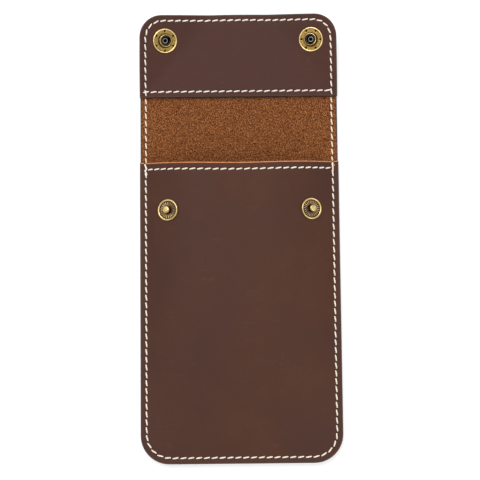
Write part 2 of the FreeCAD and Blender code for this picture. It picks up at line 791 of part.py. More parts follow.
def press_seat(body, name, radius, seat):
    """Round flat that a metal piece presses into the leather."""
    drill(body, name, f"{radius} + Sizes.seat_clearance", "Sizes.overrun + Sizes.seat_depth", seat, 0)


def punch(body, name, radius, seat):
    """Round hole right through the leather on a seat's axis."""
    reach = "(Sizes.hide + Sizes.front_hide + Sizes.lining_hide)"
    start = -size("hide") - size("front_hide") - size("lining_hide")
    drill(body, name, f"{radius} + Sizes.hole_clearance", f"2 * {reach}", seat, start)


def build():
    """Make every sub-part in place and return the bodies."""
    back = make_back_panel()
    strips = make_fold_strips()
    front = make_front_panel()
    hide, lined = size("hide"), size("hide") + size("lining_hide")
    panel = flap_sheet("flap_panel", 0, hide, "")
    lining = flap_sheet("flap_lining", hide, lined, "Sizes.lining_setback")
    doc.recompute()
    front_plain, panel_plain, lining_plain = (b.Shape.copy() for b in (front, panel, lining))

    socket_y = fold_lines()[-1] + size("flap_length") - size("socket_setback")
    flap_seats, front_seats = {}, {}
    for side, sign in SIDES:
        spot = seat_on(lining_plain, sign * size("socket_spacing") / 2, socket_y, True)
        socket_seat = sunk(spot, size("seat_depth"))
        cap_seat = sunk(seat_along(panel_plain, spot, False), size("seat_depth"))
        flap_seats[side] = socket_seat, cap_seat
        spring_centre = socket_seat.multiply(Placement(Vector(0, 0, size("spring_height")), Rotation()))
        target = snapped_shut(spring_centre).Base
        x, y = target.x, target.y
        for _ in range(SETTLE_ROUNDS):
            spot = sunk(seat_on(front_plain, x, y, True), size("seat_depth"))
            knob = spot.multVec(Vector(0, 0, size("knob_height")))
            x, y = x + target.x - knob.x, y + target.y - knob.y
        post_seat = sunk(seat_along(front_plain, spot, False), size("seat_depth"))
        front_seats[side] = spot, post_seat
        print(
            f"{side}: stud at {spot.Base.x:.2f} {spot.Base.y:.2f} {spot.Base.z:.2f},",
            f"knob below the spring plane when shut by {target.z - knob.z:.3f}",
        )
    stack = flap_seats["left"][0].Base.distanceToPoint(flap_seats["left"][1].Base)
    derive("flap_stack", stack, "leather between the cap and the socket")
    stack = front_seats["left"][0].Base.distanceToPoint(front_seats["left"][1].Base)
    derive("front_stack", stack, "leather between the post and the stud")

    metal = []
    for side, _ in SIDES:
        socket_seat, cap_seat = flap_seats[side]
        stud_seat, post_seat = front_seats[side]
        press_seat(lining, f"socket_seat_{side}", "Sizes.socket_radius", socket_seat)
        punch(lining, f"hole_{side}", "Sizes.tube_radius", socket_seat)
        press_seat(panel, f"cap_seat_{side}", "Sizes.cap_radius", cap_seat)
        punch(panel, f"hole_{side}", "Sizes.tube_radius", cap_seat)
        press_seat(front, f"stud_seat_{side}", "Sizes.stud_radius", stud_seat)
        press_seat(front, f"post_seat_{side}", "Sizes.post_radius", post_seat)
        punch(front, f"hole_{side}", "Sizes.post_barrel", stud_seat)
        for maker, label, seat in (
            (make_socket, f"socket_{side}", socket_seat),
            (make_spring, f"socket_spring_{side}", socket_seat),
            (make_cap, f"cap_{side}", cap_seat),
            (make_stud, f"stud_{side}", stud_seat),
            (make_stud_post, f"stud_post_{side}", Placement(post_seat.Base, stud_seat.Rotation)),
        ):
            body = maker(label)
            body.Placement = seat
            metal.append(body)
    bodies = [back, *strips, front, panel, lining, *metal, *make_threads()]
    middle = (fold_lines()[-1] + size("flap_length")) / 2
    for body in bodies:
        body.Placement = Placement(Vector(0, -middle, 0), Rotation()).multiply(body.Placement)
    return bodies


def write_out(bodies):
    """Check every object and write one file for each sub-part."""
    doc.recompute()
    failed = [o.Name for o in doc.Objects if "Invalid" in o.State or "Error" in o.State]
    if failed:
        raise RuntimeError(f"failed objects: {failed}")
    os.makedirs("parts", exist_ok=True)
    for body in bodies:
        shape = body.Shape
        if shape.isNull() or not shape.isValid():
            raise RuntimeError(f"bad shape: {body.Label}")
        shape.exportStep(f"parts/{body.Label}.step")
        box = shape.BoundBox
        print(
            f"{body.Label:24s} {len(shape.Solids)} {shape.Volume:9.2f}",
            f"x {box.XMin:7.2f} {box.XMax:7.2f} y {box.YMin:7.2f} {box.YMax:7.2f}",
            f"z {box.ZMin:6.2f} {box.ZMax:6.2f}",
        )


write_out(build())
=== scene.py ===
"""Leather watch travel pouch, laid open on its back on a pale table under soft light."""

import logging
import math
from dataclasses import dataclass
from enum import Enum, IntEnum
from typing import Callable, Iterable, Sequence

import bmesh
import bpy
from bmesh.types import BMEdge, BMesh, BMVert
from bpy.types import Material, Node, NodeSocket, NodeTree, Object
from mathutils import Matrix, Vector
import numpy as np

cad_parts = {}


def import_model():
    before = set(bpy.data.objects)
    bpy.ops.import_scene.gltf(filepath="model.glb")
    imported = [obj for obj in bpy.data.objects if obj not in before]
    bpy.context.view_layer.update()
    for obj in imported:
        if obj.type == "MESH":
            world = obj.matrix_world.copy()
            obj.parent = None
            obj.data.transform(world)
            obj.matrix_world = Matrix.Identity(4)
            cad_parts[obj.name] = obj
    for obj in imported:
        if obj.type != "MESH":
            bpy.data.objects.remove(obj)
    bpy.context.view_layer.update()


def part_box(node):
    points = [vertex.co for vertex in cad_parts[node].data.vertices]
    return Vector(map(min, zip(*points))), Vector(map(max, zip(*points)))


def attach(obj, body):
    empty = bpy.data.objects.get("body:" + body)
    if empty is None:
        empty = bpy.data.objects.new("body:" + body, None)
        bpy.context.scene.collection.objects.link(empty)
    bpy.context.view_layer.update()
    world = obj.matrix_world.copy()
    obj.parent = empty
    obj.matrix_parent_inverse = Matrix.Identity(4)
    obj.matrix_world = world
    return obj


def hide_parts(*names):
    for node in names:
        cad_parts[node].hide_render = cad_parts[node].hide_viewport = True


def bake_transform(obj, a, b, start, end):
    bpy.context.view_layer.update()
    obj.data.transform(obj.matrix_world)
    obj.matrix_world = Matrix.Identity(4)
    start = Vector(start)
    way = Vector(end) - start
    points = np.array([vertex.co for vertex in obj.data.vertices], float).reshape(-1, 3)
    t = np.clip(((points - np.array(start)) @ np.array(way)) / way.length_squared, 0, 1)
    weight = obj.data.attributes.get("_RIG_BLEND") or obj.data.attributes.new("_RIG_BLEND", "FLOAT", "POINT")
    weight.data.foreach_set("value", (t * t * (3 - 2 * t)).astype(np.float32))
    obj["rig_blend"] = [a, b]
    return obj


LOG = logging.getLogger("watch_pouch")
MM = 0.001
LAST_FOLD = 5
TINY = 1e-6
WHITE = (1, 1, 1, 1)
# material slot of the painted shade in the stitching holes
HOLE_SHADE_SLOT = 1
TUBE_SLOT = 1

# names of the attributes that points carry
PLACE = "hide_place"
PLY = "ply_place"
PATINA = "patina"
LEVEL = "level"
OUTWARD = "outward"
RAW_CUT = "raw_cut"

Color = tuple[float, float, float, float]
Height = Callable[[float, float], float]
Plan = Callable[[float, float], Vector]
Line = list[tuple[float, float]]
Section = Sequence[tuple[float, float, float]]


class Side(Enum):
    """Left or right half of the pouch, seen from above with the flap at the top."""

    LEFT = -1
    RIGHT = 1

    def node(self, stem: str) -> str:
        """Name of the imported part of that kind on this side."""
        return f"{stem}_{self.name.lower()}"


class Facing(Enum):
    """Which way a seam looks out of the leather."""

    UP = 1
    DOWN = -1


class Cover(IntEnum):
    """Material slots of a sheet of leather."""

    UPPER = 0
    LOWER = 1
    PAINTED = 2
    RAW = 3


# measures


def box_mm(node: str) -> tuple[Vector, Vector]:
    """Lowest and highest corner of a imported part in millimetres."""
    low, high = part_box(node)
    return low / MM, high / MM


def share_of(place: float, start: float, run: float) -> float:
    """How far a place lies along a run that begins at start, from 0 to 1."""
    return min(max((place - start) / run, 0.0), 1.0)


@dataclass(frozen=True)
class Measures:
    """Sizes of the pouch in millimetres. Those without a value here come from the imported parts."""

    half_width: float
    foot_y: float
    fold_y: float
    hide: float
    fold_pitch: float
    fold_half: float
    mouth_y: float
    dome: float
    lining_y: float
    tip_y: float
    front_hide: float = 1.8
    lining_hide: float = 1.6
    bottom_corner: float = 11.4
    flap_corner: float = 9.3
    flap_crown: float = 1.7
    mouth_dip: float = 1.6
    crown_half: float = 12.0
    seam_margin: float = 3.1
    curl_rise: float = 7.6
    curl_flat_half: float = 10.0
    curl_power: float = 1.25
    seam_inset: float = 2.4
    mouth_inset: float = 2.8
    hem_inset: float = 2.3
    row_gap: float = 0.5
    edge_tack: float = 1.1
    mouth_end: float = 0.6
    hem_start: float = 0.4
    bend_reach: float = 0.65
    socket_inset: float = 10.4
    socket_setback: float = 11.26
    stud_inset: float = 11.46
    stud_drop: float = 20.1
    seat_depth: float = 0.25

    @classmethod
    def from_frame(cls) -> "Measures":
        """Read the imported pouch.

        Returns:
            Its measures.
        """
        back_low, back_high = box_mm("back_panel")
        strip_low, strip_high = box_mm("fold_strip_1")
        front_high = box_mm("front_panel")[1]
        return cls(
            half_width=back_high.x,
            foot_y=back_low.y,
            fold_y=back_high.y,
            hide=back_high.z,
            fold_pitch=strip_high.y - strip_low.y,
            fold_half=strip_high.x,
            mouth_y=front_high.y,
            dome=front_high.z - back_high.z - cls.front_hide,
            lining_y=box_mm("flap_lining")[0].y,
            tip_y=box_mm("flap_panel")[1].y,
        )

    def fold_line(self, index: int) -> float:
        """Place along the pouch of one fold line, counted from the pocket."""
        return self.fold_y + self.fold_pitch * index

    def bend_ends(self, index: int) -> tuple[float, float]:
        """Where the bend over one fold line starts and ends along the pouch."""
        line, half = self.fold_line(index), self.fold_pitch / 2
        return line - half, line + (self.bend_reach if index == LAST_FOLD else half)

    def crown(self, x: float) -> float:
        """How far the flap's free edge bows out past the start of its corners."""
        shoulder = self.half_width - self.flap_corner
        return max(shoulder**2 - x * x, 0.0) * self.flap_crown / self.half_width**2

    @property
    def shoulder_y(self) -> float:
        """Place along the pouch where the free edge turns into its corners."""
        return self.tip_y - self.crown(0)

    @property
    def seam_x(self) -> float:
        """Place across the pouch of the side seams."""
        return self.half_width - self.seam_inset

    def mouth_line(self, x: float) -> float:
        """Place along the pouch of the mouth edge, drawn back in the middle."""
        radius = (self.half_width**2 + self.mouth_dip**2) / (2 * self.mouth_dip)
        return self.mouth_y - self.mouth_dip + radius - math.sqrt(radius**2 - x * x)


def smooth_steps(amount: float, places: Sequence[float], values: Sequence[float]) -> float:
    """Read a smooth curve through points.

    Args:
        amount: where to read the curve.
        places: rising places of the points.
        values: values at the points.

    Returns:
        The value there, level past both ends.
    """
    if amount <= places[0]:
        return values[0]
    if amount > places[-1]:
        return values[-1]
    after = next(index for index, place in enumerate(places) if amount <= place)

    def slope(at: int) -> float:
        """Slope of the curve at one point."""
        first, last = max(at - 1, 0), min(at + 1, len(places) - 1)
        return (values[last] - values[first]) / (places[last] - places[first])

    span = places[after] - places[after - 1]
    t = (amount - places[after - 1]) / span
    return (
        values[after - 1] * (1 + 2 * t) * (1 - t) ** 2
        + values[after] * t * t * (3 - 2 * t)
        + slope(after - 1) * span * t * (1 - t) ** 2
        - slope(after) * span * t * t * (1 - t)
    )


@dataclass(frozen=True)
class Surfaces:
    """Heights of the leather's sides over plan."""

    sizes: Measures
    rise_places: tuple[float, ...] = (0.0, 0.03, 0.1, 0.42, 1.0)
    rise_shares: tuple[float, ...] = (0.0, 0.012, 0.15, 0.6, 1.0)
    least_rise: float = 0.02
    foot_rounding: float = 0.5

    def dome(self, x: float, y: float) -> float:
        """Height of the front panel's outer side.

        Args:
            x: place across the pouch.
            y: place along the pouch.

        Returns:
            Height of the arch there, eased into the flat margin.
        """
        s = self.sizes
        along = (y - s.foot_y) / (s.mouth_y - s.foot_y)
        rise = max(s.dome * smooth_steps(along, self.rise_places, self.rise_shares), self.least_rise)
        run = s.half_width - s.seam_margin - s.crown_half
        radius = (run**2 + rise**2) / (2 * rise)
        out = max(abs(x) - s.crown_half, 0.0)
        arc = rise - radius + math.sqrt(max(radius**2 - out**2, 0.0))
        soft = min(self.foot_rounding, rise)
        return s.hide + s.front_hide + (arc + math.sqrt(arc**2 + soft**2)) / 2

    def curl(self, x: float, y: float) -> float:
        """Rise of the flap's layers over their flat middle.

        Args:
            x: place across the pouch.
            y: place along the pouch.

        Returns:
            The rise there, most at the free corners and none on the fold.
        """
        s = self.sizes
        start = s.fold_line(LAST_FOLD)
        share = max((y - start) / (s.tip_y - start), 0.0)
        run = (s.half_width - s.curl_flat_half) * share
        if run <= 0:
            return 0.0
        out = max(abs(x) - (s.half_width - run), 0.0) / run
        return s.curl_rise * share * out**s.curl_power

    def lining_top(self, x: float, y: float) -> float:
        """Inner face of the flap."""
        return self.sizes.hide + self.sizes.lining_hide + self.curl(x, y)

    def hide_top(self, x: float, y: float) -> float:
        """Flesh side of the long hide."""
        return self.sizes.hide


# finishes


def paint(red: int, green: int, blue: int) -> Color:
    """Linear colour of a screen colour.

    Args:
        red: 0 to 255.
        green: 0 to 255.
        blue: 0 to 255.

    Returns:
        Red, green, blue and full opacity for a shader socket.
    """

    def linear(value: int) -> float:
        """One part of the colour by the curve of a screen."""
        share = value / 255
        return share / 12.92 if share <= 0.04045 else ((share + 0.055) / 1.055) ** 2.4

    return linear(red), linear(green), linear(blue), 1.0


class Nodes:
    """Node tree of a material or of the world, built node by node."""

    def __init__(self, tree: NodeTree) -> None:
        """Take over a node tree."""
        self.tree = tree

    def feed(self, node: Node, feeds: dict[str | int, object]) -> None:
        """Link outputs to a node's inputs, or set plain values on them.

        Args:
            node: the node.
            feeds: an output or a plain value for each input, by its name or number.
        """
        for key, value in feeds.items():
            if isinstance(value, NodeSocket):
                self.tree.links.new(value, node.inputs[key])
            else:
                node.inputs[key].default_value = value

    def node(self, kind: str, feeds: dict[str | int, object] | None = None, **settings: object) -> Node:
        """Add a node.

        Args:
            kind: type of the node.
            feeds: an output or a plain value for each input that is changed.
            settings: properties of the node.

        Returns:
            The node.
        """
        made = self.tree.nodes.new(kind)
        for key, value in settings.items():
            setattr(made, key, value)
        self.feed(made, feeds or {})
        return made

    def worked_out(self, operation: str, *values: object, **settings: object) -> NodeSocket:
        """Result of a sum of outputs or plain values."""
        feeds = dict(enumerate(values))
        return self.node("ShaderNodeMath", feeds, operation=operation, **settings).outputs[0]

    def times(self, first: object, second: object) -> NodeSocket:
        """Product of two values."""
        return self.worked_out("MULTIPLY", first, second)

    def seen_plainly(self) -> NodeSocket:
        """Tell the rays that look from those that only light.

        Returns:
            1 for rays of the camera, of reflections and through clear things, or else 0.
        """
        rays = self.node("ShaderNodeLightPath").outputs
        seen = rays["Is Camera Ray"]
        for ray in ("Is Glossy Ray", "Is Transmission Ray"):
            seen = self.worked_out("MAXIMUM", seen, rays[ray])
        return seen


@dataclass(frozen=True)
class Pattern:
    """Noise over the place that a finish follows, scale in cycles for each unit of it.

    With stops the noise is drawn out to black at the first stop, white at the second, and so on.
    """

    scale: float
    stops: tuple[float, ...] = ()
    detail: float = 3.0
    stretch: tuple[float, float, float] = (1.0, 1.0, 1.0)
    turn: float = 0.0


class Shader(Nodes):
    """Node tree of one finish."""

    def __init__(self, name: str, attribute: str | None = None) -> None:
        """Start a material.

        Args:
            name: name of the material.
            attribute: point attribute that its patterns follow, or None for Object coordinates.
        """
        material = bpy.data.materials.new(name)
        material.use_nodes = True
        super().__init__(material.node_tree)
        self.tree.nodes.clear()
        self.material = material
        self.skin = self.node("ShaderNodeBsdfPrincipled")
        self.output = self.node("ShaderNodeOutputMaterial", {"Surface": self.skin.outputs["BSDF"]})
        if attribute:
            self.place = self.node("ShaderNodeAttribute", attribute_name=attribute).outputs["Vector"]
        else:
            self.place = self.node("ShaderNodeTexCoord").outputs["Object"]

    def drawn(self, pattern: Pattern) -> NodeSocket:
        """Draw a pattern.

        Args:
            pattern: the pattern.

        Returns:
            Its value.
        """
        place = self.place
        if pattern.stretch != Pattern.stretch:
            feeds = {"Vector": place, "Scale": pattern.stretch, "Rotation": (0, 0, pattern.turn)}
            place = self.node("ShaderNodeMapping", feeds).outputs["Vector"]
        feeds = {"Vector": place, "Scale": pattern.scale, "Detail": pattern.detail}
        noise = self.node("ShaderNodeTexNoise", feeds).outputs["Fac"]
        return self.contrast(noise, *pattern.stops) if pattern.stops else noise

    def cells(self, scale: float) -> NodeSocket:
        """Distance to the nearest of scattered points."""
        feeds = {"Vector": self.place, "Scale": scale}
        return self.node("ShaderNodeTexVoronoi", feeds).outputs["Distance"]

    def ramp(self, source: NodeSocket, tones: dict[float, Color]) -> NodeSocket:
        """Colour ramp of a source.

        Args:
            source: value to look up.
            tones: colour at each position, in rising order.

        Returns:
            The ramp's output.
        """
        made = self.node("ShaderNodeValToRGB", {"Fac": source})
        elements = made.color_ramp.elements
        while len(elements) < len(tones):
            elements.new(0.5)
        for element, (position, tone) in zip(elements, tones.items()):
            element.position = position
            element.color = tone
        return made.outputs["Color"]

    def contrast(self, source: NodeSocket, *stops: float) -> NodeSocket:
        """Source drawn out to black at the first stop, white at the second, and so on."""
        return self.ramp(source, {stop: (count % 2,) * 3 + (1,) for count, stop in enumerate(stops)})

    def between(self, source: NodeSocket, low: float, high: float) -> NodeSocket:
        """Value that goes from low to high with the source."""
        feeds = {"Value": source, "To Min": low, "To Max": high}
        return self.node("ShaderNodeMapRange", feeds).outputs["Result"]

    def mix(self, share: object, first: object, second: object) -> NodeSocket:
        """Colour between two colours."""
        feeds = {"Factor": share, "A": first, "B": second}
        return self.node("ShaderNodeMix", feeds, data_type="RGBA").outputs["Result"]

    def glaze(self, color: object, *coats: tuple[NodeSocket, float, Color]) -> NodeSocket:
        """Lay thin coats over a colour.

        Args:
            color: the colour below.
            coats: pattern, share and colour of each coat.

        Returns:
            The colour of them all.
        """
        for pattern, share, tone in coats:
            color = self.mix(self.times(pattern, share), color, tone)
        return color

    def relief(self, *layers: tuple[NodeSocket, float], strength: float = 1.0) -> NodeSocket:
        """Lay reliefs over each other.

        Args:
            layers: pattern and depth in millimetres of each, the lowest first.
            strength: share of the uppermost relief that shows.

        Returns:
            The normal of them all.
        """
        below: dict[str | int, object] = {}
        for pattern, depth in layers:
            feeds = {"Strength": 1.0, "Distance": depth * MM, "Height": pattern, **below}
            made = self.node("ShaderNodeBump", feeds)
            below = {"Normal": made.outputs["Normal"]}
        made.inputs["Strength"].default_value = strength
        return made.outputs["Normal"]

    def finish(self, color: object, roughness: object, **others: object) -> Material:
        """Wire the surface.

        Args:
            color: base colour or its pattern.
            roughness: roughness or its pattern.
            others: further sockets of the surface, with spaces written as _.

        Returns:
            The material.
        """
        self.feed(self.skin, {"Base Color": color, "Roughness": roughness})
        self.feed(self.skin, {key.replace("_", " "): value for key, value in others.items()})
        return self.material


@dataclass(frozen=True)
class WaxedHide:
    """Smooth dark leather with cloudy wax, fine pores and a few pale scuffs."""

    name: str
    base: Color = paint(73, 43, 31)
    deep: Color = paint(64, 37, 27)
    scuff: Color = paint(122, 92, 78)
    clouds: Pattern = Pattern(0.045, (0.36, 0.66), detail=4.0)
    mottle: Pattern = Pattern(0.55, (0.3, 0.7))
    mottle_share: float = 0.22
    scratches: Pattern = Pattern(1.0, (0.49, 0.5, 0.51), stretch=(0.035, 0.5, 1.0), turn=0.12)
    patches: Pattern = Pattern(0.11, (0.54, 0.72))
    scuff_share: float = 0.22
    flecks: Pattern = Pattern(1.25, (0.74, 0.8), detail=2.0)
    fleck_share: float = 0.3
    grain: Pattern = Pattern(3.2, detail=4.0)
    grain_depth: float = 0.05
    pore_scale: float = 1.9
    pore_depth: float = 0.035
    waves: Pattern = Pattern(0.16)
    wave_depth: float = 0.3
    wave_share: float = 0.6
    polished: float = 0.55
    dull: float = 0.66
    shine: float = 0.18

    def build(self) -> Material:
        """Build the material.

        Returns:
            Material of this finish.
        """
        shader = Shader(self.name, PLACE)
        clouds = shader.drawn(self.clouds)
        scuffs = shader.times(shader.drawn(self.scratches), shader.drawn(self.patches))
        color = shader.glaze(
            shader.mix(clouds, self.deep, self.base),
            (shader.drawn(self.mottle), self.mottle_share, self.deep),
            (scuffs, self.scuff_share, self.scuff),
            (shader.drawn(self.flecks), self.fleck_share, self.scuff),
        )
        skin = shader.relief(
            (shader.drawn(self.grain), self.grain_depth),
            (shader.cells(self.pore_scale), self.pore_depth),
            (shader.drawn(self.waves), self.wave_depth),
            strength=self.wave_share,
        )
        rough = shader.between(clouds, self.polished, self.dull)
        return shader.finish(color, rough, Normal=skin, Specular_IOR_Level=self.shine)


@dataclass(frozen=True)
class Suede:
    """Brushed flesh side: orange brown nap with dark and pale fibres."""

    name: str = "suede"
    pale: Color = paint(200, 132, 80)
    middle: Color = paint(119, 63, 28)
    dark: Color = paint(56, 25, 10)
    tufts: Pattern = Pattern(1.7, (0.32, 0.6), detail=5.0)
    fibres: Pattern = Pattern(1.0, detail=6.0, stretch=(3.2, 1.9, 1.0), turn=0.5)
    fibre_start: float = 0.46
    fibre_full: float = 0.66
    fibre_depth: float = 0.6
    specks: Pattern = Pattern(4.2, (0.38, 0.62), detail=5.0)
    speck_share: float = 0.4
    fluff: Pattern = Pattern(3.0, detail=5.0)
    fluff_depth: float = 0.3
    roughness: float = 0.95
    shine: float = 0.04
    sheen: float = 0.06
    sheen_roughness: float = 0.5

    def build(self) -> Material:
        """Build the material.

        Returns:
            Material of this finish.
        """
        shader = Shader(self.name, PLACE)
        fibres, fluff = shader.drawn(self.fibres), shader.drawn(self.fluff)
        pale = shader.contrast(fibres, self.fibre_start, self.fibre_full)
        nap = shader.mix(shader.drawn(self.tufts), self.dark, self.middle)
        nap = shader.mix(pale, nap, self.pale)
        return shader.finish(
            shader.glaze(nap, (shader.drawn(self.specks), self.speck_share, self.dark)),
            self.roughness,
            Normal=shader.relief((fibres, self.fibre_depth), (fluff, self.fluff_depth)),
            Specular_IOR_Level=self.shine,
            Sheen_Weight=self.sheen,
            Sheen_Roughness=self.sheen_roughness,
        )


@dataclass(frozen=True)
class CutEdge:
    """Cut side of leather, either burnished with edge paint or left raw."""

    name: str
    base: Color
    streak: Color
    worn: Color
    roughness: float
    layers: Pattern = Pattern(1.0, (0.35, 0.65), detail=4.0, stretch=(0.5, 0.5, 4.0))
    rubbed: Pattern = Pattern(0.07, (0.56, 0.68), detail=5.0)
    worn_share: float = 0.4
    fuzz: Pattern = Pattern(2.5, detail=4.0)
    fuzz_depth: float = 0.08

    def build(self) -> Material:
        """Build the material.

        Returns:
            Material of this finish.
        """
        shader = Shader(self.name, PLACE)
        color = shader.mix(shader.drawn(self.layers), self.base, self.streak)
        color = shader.glaze(color, (shader.drawn(self.rubbed), self.worn_share, self.worn))
        fuzz = shader.relief((shader.drawn(self.fuzz), self.fuzz_depth))
        return shader.finish(color, self.roughness, Normal=fuzz)


@dataclass(frozen=True)
class WaxedThread:
    """Cream waxed thread of two plies, the grooves between the plies darkened with painted shade."""

    name: str = "waxed_thread"
    crest: Color = paint(255, 249, 236)
    groove_shade: Color = paint(245, 222, 192)
    twist: float = 0.62
    waver: float = 0.6
    groove_shade_end: float = 0.05
    crest_start: float = 0.5
    ply_depth: float = 0.06
    fuzz: Pattern = Pattern(6.0)
    fuzz_depth: float = 0.02
    roughness: float = 0.62

    def build(self) -> Material:
        """Build the material.

        Returns:
            Material of this finish.
        """
        shader = Shader(self.name, PLY)
        feeds = {"Vector": shader.place, "Scale": self.twist, "Distortion": self.waver}
        plies = shader.node("ShaderNodeTexWave", feeds, bands_direction="DIAGONAL").outputs["Fac"]
        # colour falls to the painted groove shade where the ply relief is low
        share = shader.contrast(plies, self.groove_shade_end, self.crest_start)
        color = shader.mix(share, self.groove_shade, self.crest)
        relief = shader.relief((plies, self.ply_depth), (shader.drawn(self.fuzz), self.fuzz_depth))
        return shader.finish(color, self.roughness, Normal=relief)


@dataclass(frozen=True)
class HoleShade:
    """Painted shade for the inside of stitching holes: dark specks on near-black, laid on a small cone at
    each stitch end.
    """

    name: str = "stitch_hole_shade"
    shade: Color = paint(30, 19, 15)
    speck: Color = paint(44, 28, 22)
    specks: Pattern = Pattern(2.0, (0.3, 0.7))
    roughness: float = 0.95

    def build(self) -> Material:
        """Build the material.

        Returns:
            Material of this finish.
        """
        shader = Shader(self.name, PLY)
        color = shader.mix(shader.drawn(self.specks), self.shade, self.speck)
        return shader.finish(color, self.roughness)


@dataclass(frozen=True)
class AgedBrass:
    """Antique brass: polished high spots over a brown patina that lies in the hollows."""

    name: str
    bright: Color = paint(226, 200, 138)
    middle: Color = paint(140, 112, 62)
    brown: Color = paint(66, 50, 27)
    black: Color = paint(12, 10, 8)
    spots: Pattern = Pattern(1400.0, (0.35, 0.7), detail=4.0)
    spot_share: float = 0.16
    grain: Pattern = Pattern(2600.0)
    grain_depth: float = 0.012
    middle_at: float = 0.35
    brown_at: float = 0.72
    polished: float = 0.28
    dull: float = 0.6

    def build(self) -> Material:
        """Build the material.

        Returns:
            Material of this finish.
        """
        shader = Shader(self.name)
        worn = shader.node("ShaderNodeAttribute", attribute_name=PATINA).outputs["Fac"]
        spots = shader.drawn(self.spots)
        patina = shader.worked_out("MULTIPLY_ADD", spots, self.spot_share, worn, use_clamp=True)
        tones = {0: self.bright, self.middle_at: self.middle, self.brown_at: self.brown, 1: self.black}
        return shader.finish(
            shader.ramp(patina, tones),
            shader.between(patina, self.polished, self.dull),
            Normal=shader.relief((shader.drawn(self.grain), self.grain_depth)),
            Metallic=1.0,
        )


@dataclass(frozen=True)
class Finishes:
    """Materials that the pieces share."""

    outside: Material
    lining: Material
    suede: Material
    painted: Material
    raw: Material
    thread: Material
    rubbed_thread: Material
    burnt_thread: Material
    hole_shade: Material
    brass: Material
    bronze: Material
    steel: Material

    @classmethod
    def build(cls) -> "Finishes":
        """Make every material once.

        Returns:
            All of them.
        """
        finishes = {
            "outside": WaxedHide("waxed_hide"),
            "lining": WaxedHide("lining_hide", base=paint(70, 41, 33), deep=paint(62, 35, 29)),
            "suede": Suede(),
            "painted": CutEdge(
                "painted_edge", paint(58, 35, 27), paint(40, 24, 18), paint(112, 66, 42), roughness=0.5
            ),
            "raw": CutEdge(
                "raw_edge", paint(212, 142, 92), paint(178, 106, 60), paint(196, 126, 80), roughness=0.85
            ),
            "thread": WaxedThread(),
            # rubbed and melted thread, each with painted shade in its ply grooves
            "rubbed_thread": WaxedThread("rubbed_thread", paint(255, 242, 220), paint(236, 202, 158)),
            "burnt_thread": WaxedThread("burnt_thread", paint(226, 132, 62), paint(168, 82, 34)),
            # painted shade for the stitching holes
            "hole_shade": HoleShade(),
            "brass": AgedBrass("aged_brass"),
            "bronze": AgedBrass("aged_bronze", middle=paint(132, 106, 72), brown=paint(70, 54, 44)),
            "steel": AgedBrass(
                "spring_steel", paint(190, 188, 182), paint(120, 118, 113), paint(62, 60, 57)
            ),
        }
        return cls(**{name: finish.build() for name, finish in finishes.items()})


# stitching


def seam_dip(distance: float, depth: float = 0.16, reach: float = 1.25) -> float:
    """How far the thread pulls the leather in at a distance from its row."""
    share = min(abs(distance) / reach, 1.0)
    return -depth * (1 - share * share) ** 2


def dense(points: Line, spacing: float = 0.5) -> Line:
    """Divide the stretches of a line in plan.

    Args:
        points: corners of the line.
        spacing: least distance between new points.

    Returns:
        Closely spaced points.
    """
    line: Line = []
    for (ax, ay), (bx, by) in zip(points, points[1:]):
        parts = max(int(math.hypot(bx - ax, by - ay) / spacing), 1)
        line += [(ax + (bx - ax) * i / parts, ay + (by - ay) * i / parts) for i in range(parts)]
    return [*line, points[-1]]


def rounded_run(x: float, first: float, last: float, corner: float, steps: int = 10) -> Line:
    """Line in plan down one side, round two corners and back up the other side.

    Args:
        x: place across the pouch where the line starts, either sign.
        first: place along the pouch of both ends.
        last: place along the pouch of the straight middle.
        corner: radius of the two corners.
        steps: stretches of each corner.

    Returns:
        Closely spaced points.
    """
    turn = math.copysign(1, last - first)
    out = math.copysign(1, x)
    points = [(x, first), (x, last - turn * corner)]
    for step in range(steps + 1):
        angle = math.pi / 2 * step / steps
        across, along = 1 - math.cos(angle), 1 - math.sin(angle)
        points.append((x - out * corner * across, last - turn * corner * along))
    return dense(points + [(-px, py) for px, py in reversed(points)])


@dataclass(frozen=True)
class Seam:
    """Row of stitches along a line in plan, on the upper or the lower side of the leather."""

    points: Line
    height: Height
    facing: Facing = Facing.UP


def cut_mesh(mesh: BMesh, place: Sequence[float], normal: Sequence[float], clear: bool = False) -> list:
    """Cut a mesh by a plane.

    Args:
        mesh: the mesh.
        place: a point on the plane.
        normal: which way the plane looks.
        clear: whether the part before the plane is taken off.

    Returns:
        Points and edges of the cut.
    """
    everything = mesh.verts[:] + mesh.edges[:] + mesh.faces[:]
    return bmesh.ops.bisect_plane(
        mesh, geom=everything, plane_co=place, plane_no=normal, clear_outer=clear
    )["geom_cut"]


def new_object(name: str, mesh: BMesh, materials: Iterable[Material], hard: float = 50.0) -> Object:
    """Object at the origin from a mesh worked in millimetres.

    Args:
        name: name of the piece.
        mesh: the mesh, freed here.
        materials: its material slots in order.
        hard: turn in degrees past which an edge is sharp.

    Returns:
        The linked object with smooth faces and sharp edges where it turns hard.
    """
    bmesh.ops.scale(mesh, vec=(MM, MM, MM), verts=mesh.verts)
    data = bpy.data.meshes.new(name)
    mesh.to_mesh(data)
    mesh.free()
    data.shade_smooth()
    data.set_sharp_from_angle(angle=math.radians(hard))
    piece = bpy.data.objects.new(name, data)
    for material in materials:
        data.materials.append(material)
    bpy.context.scene.collection.objects.link(piece)
    return piece


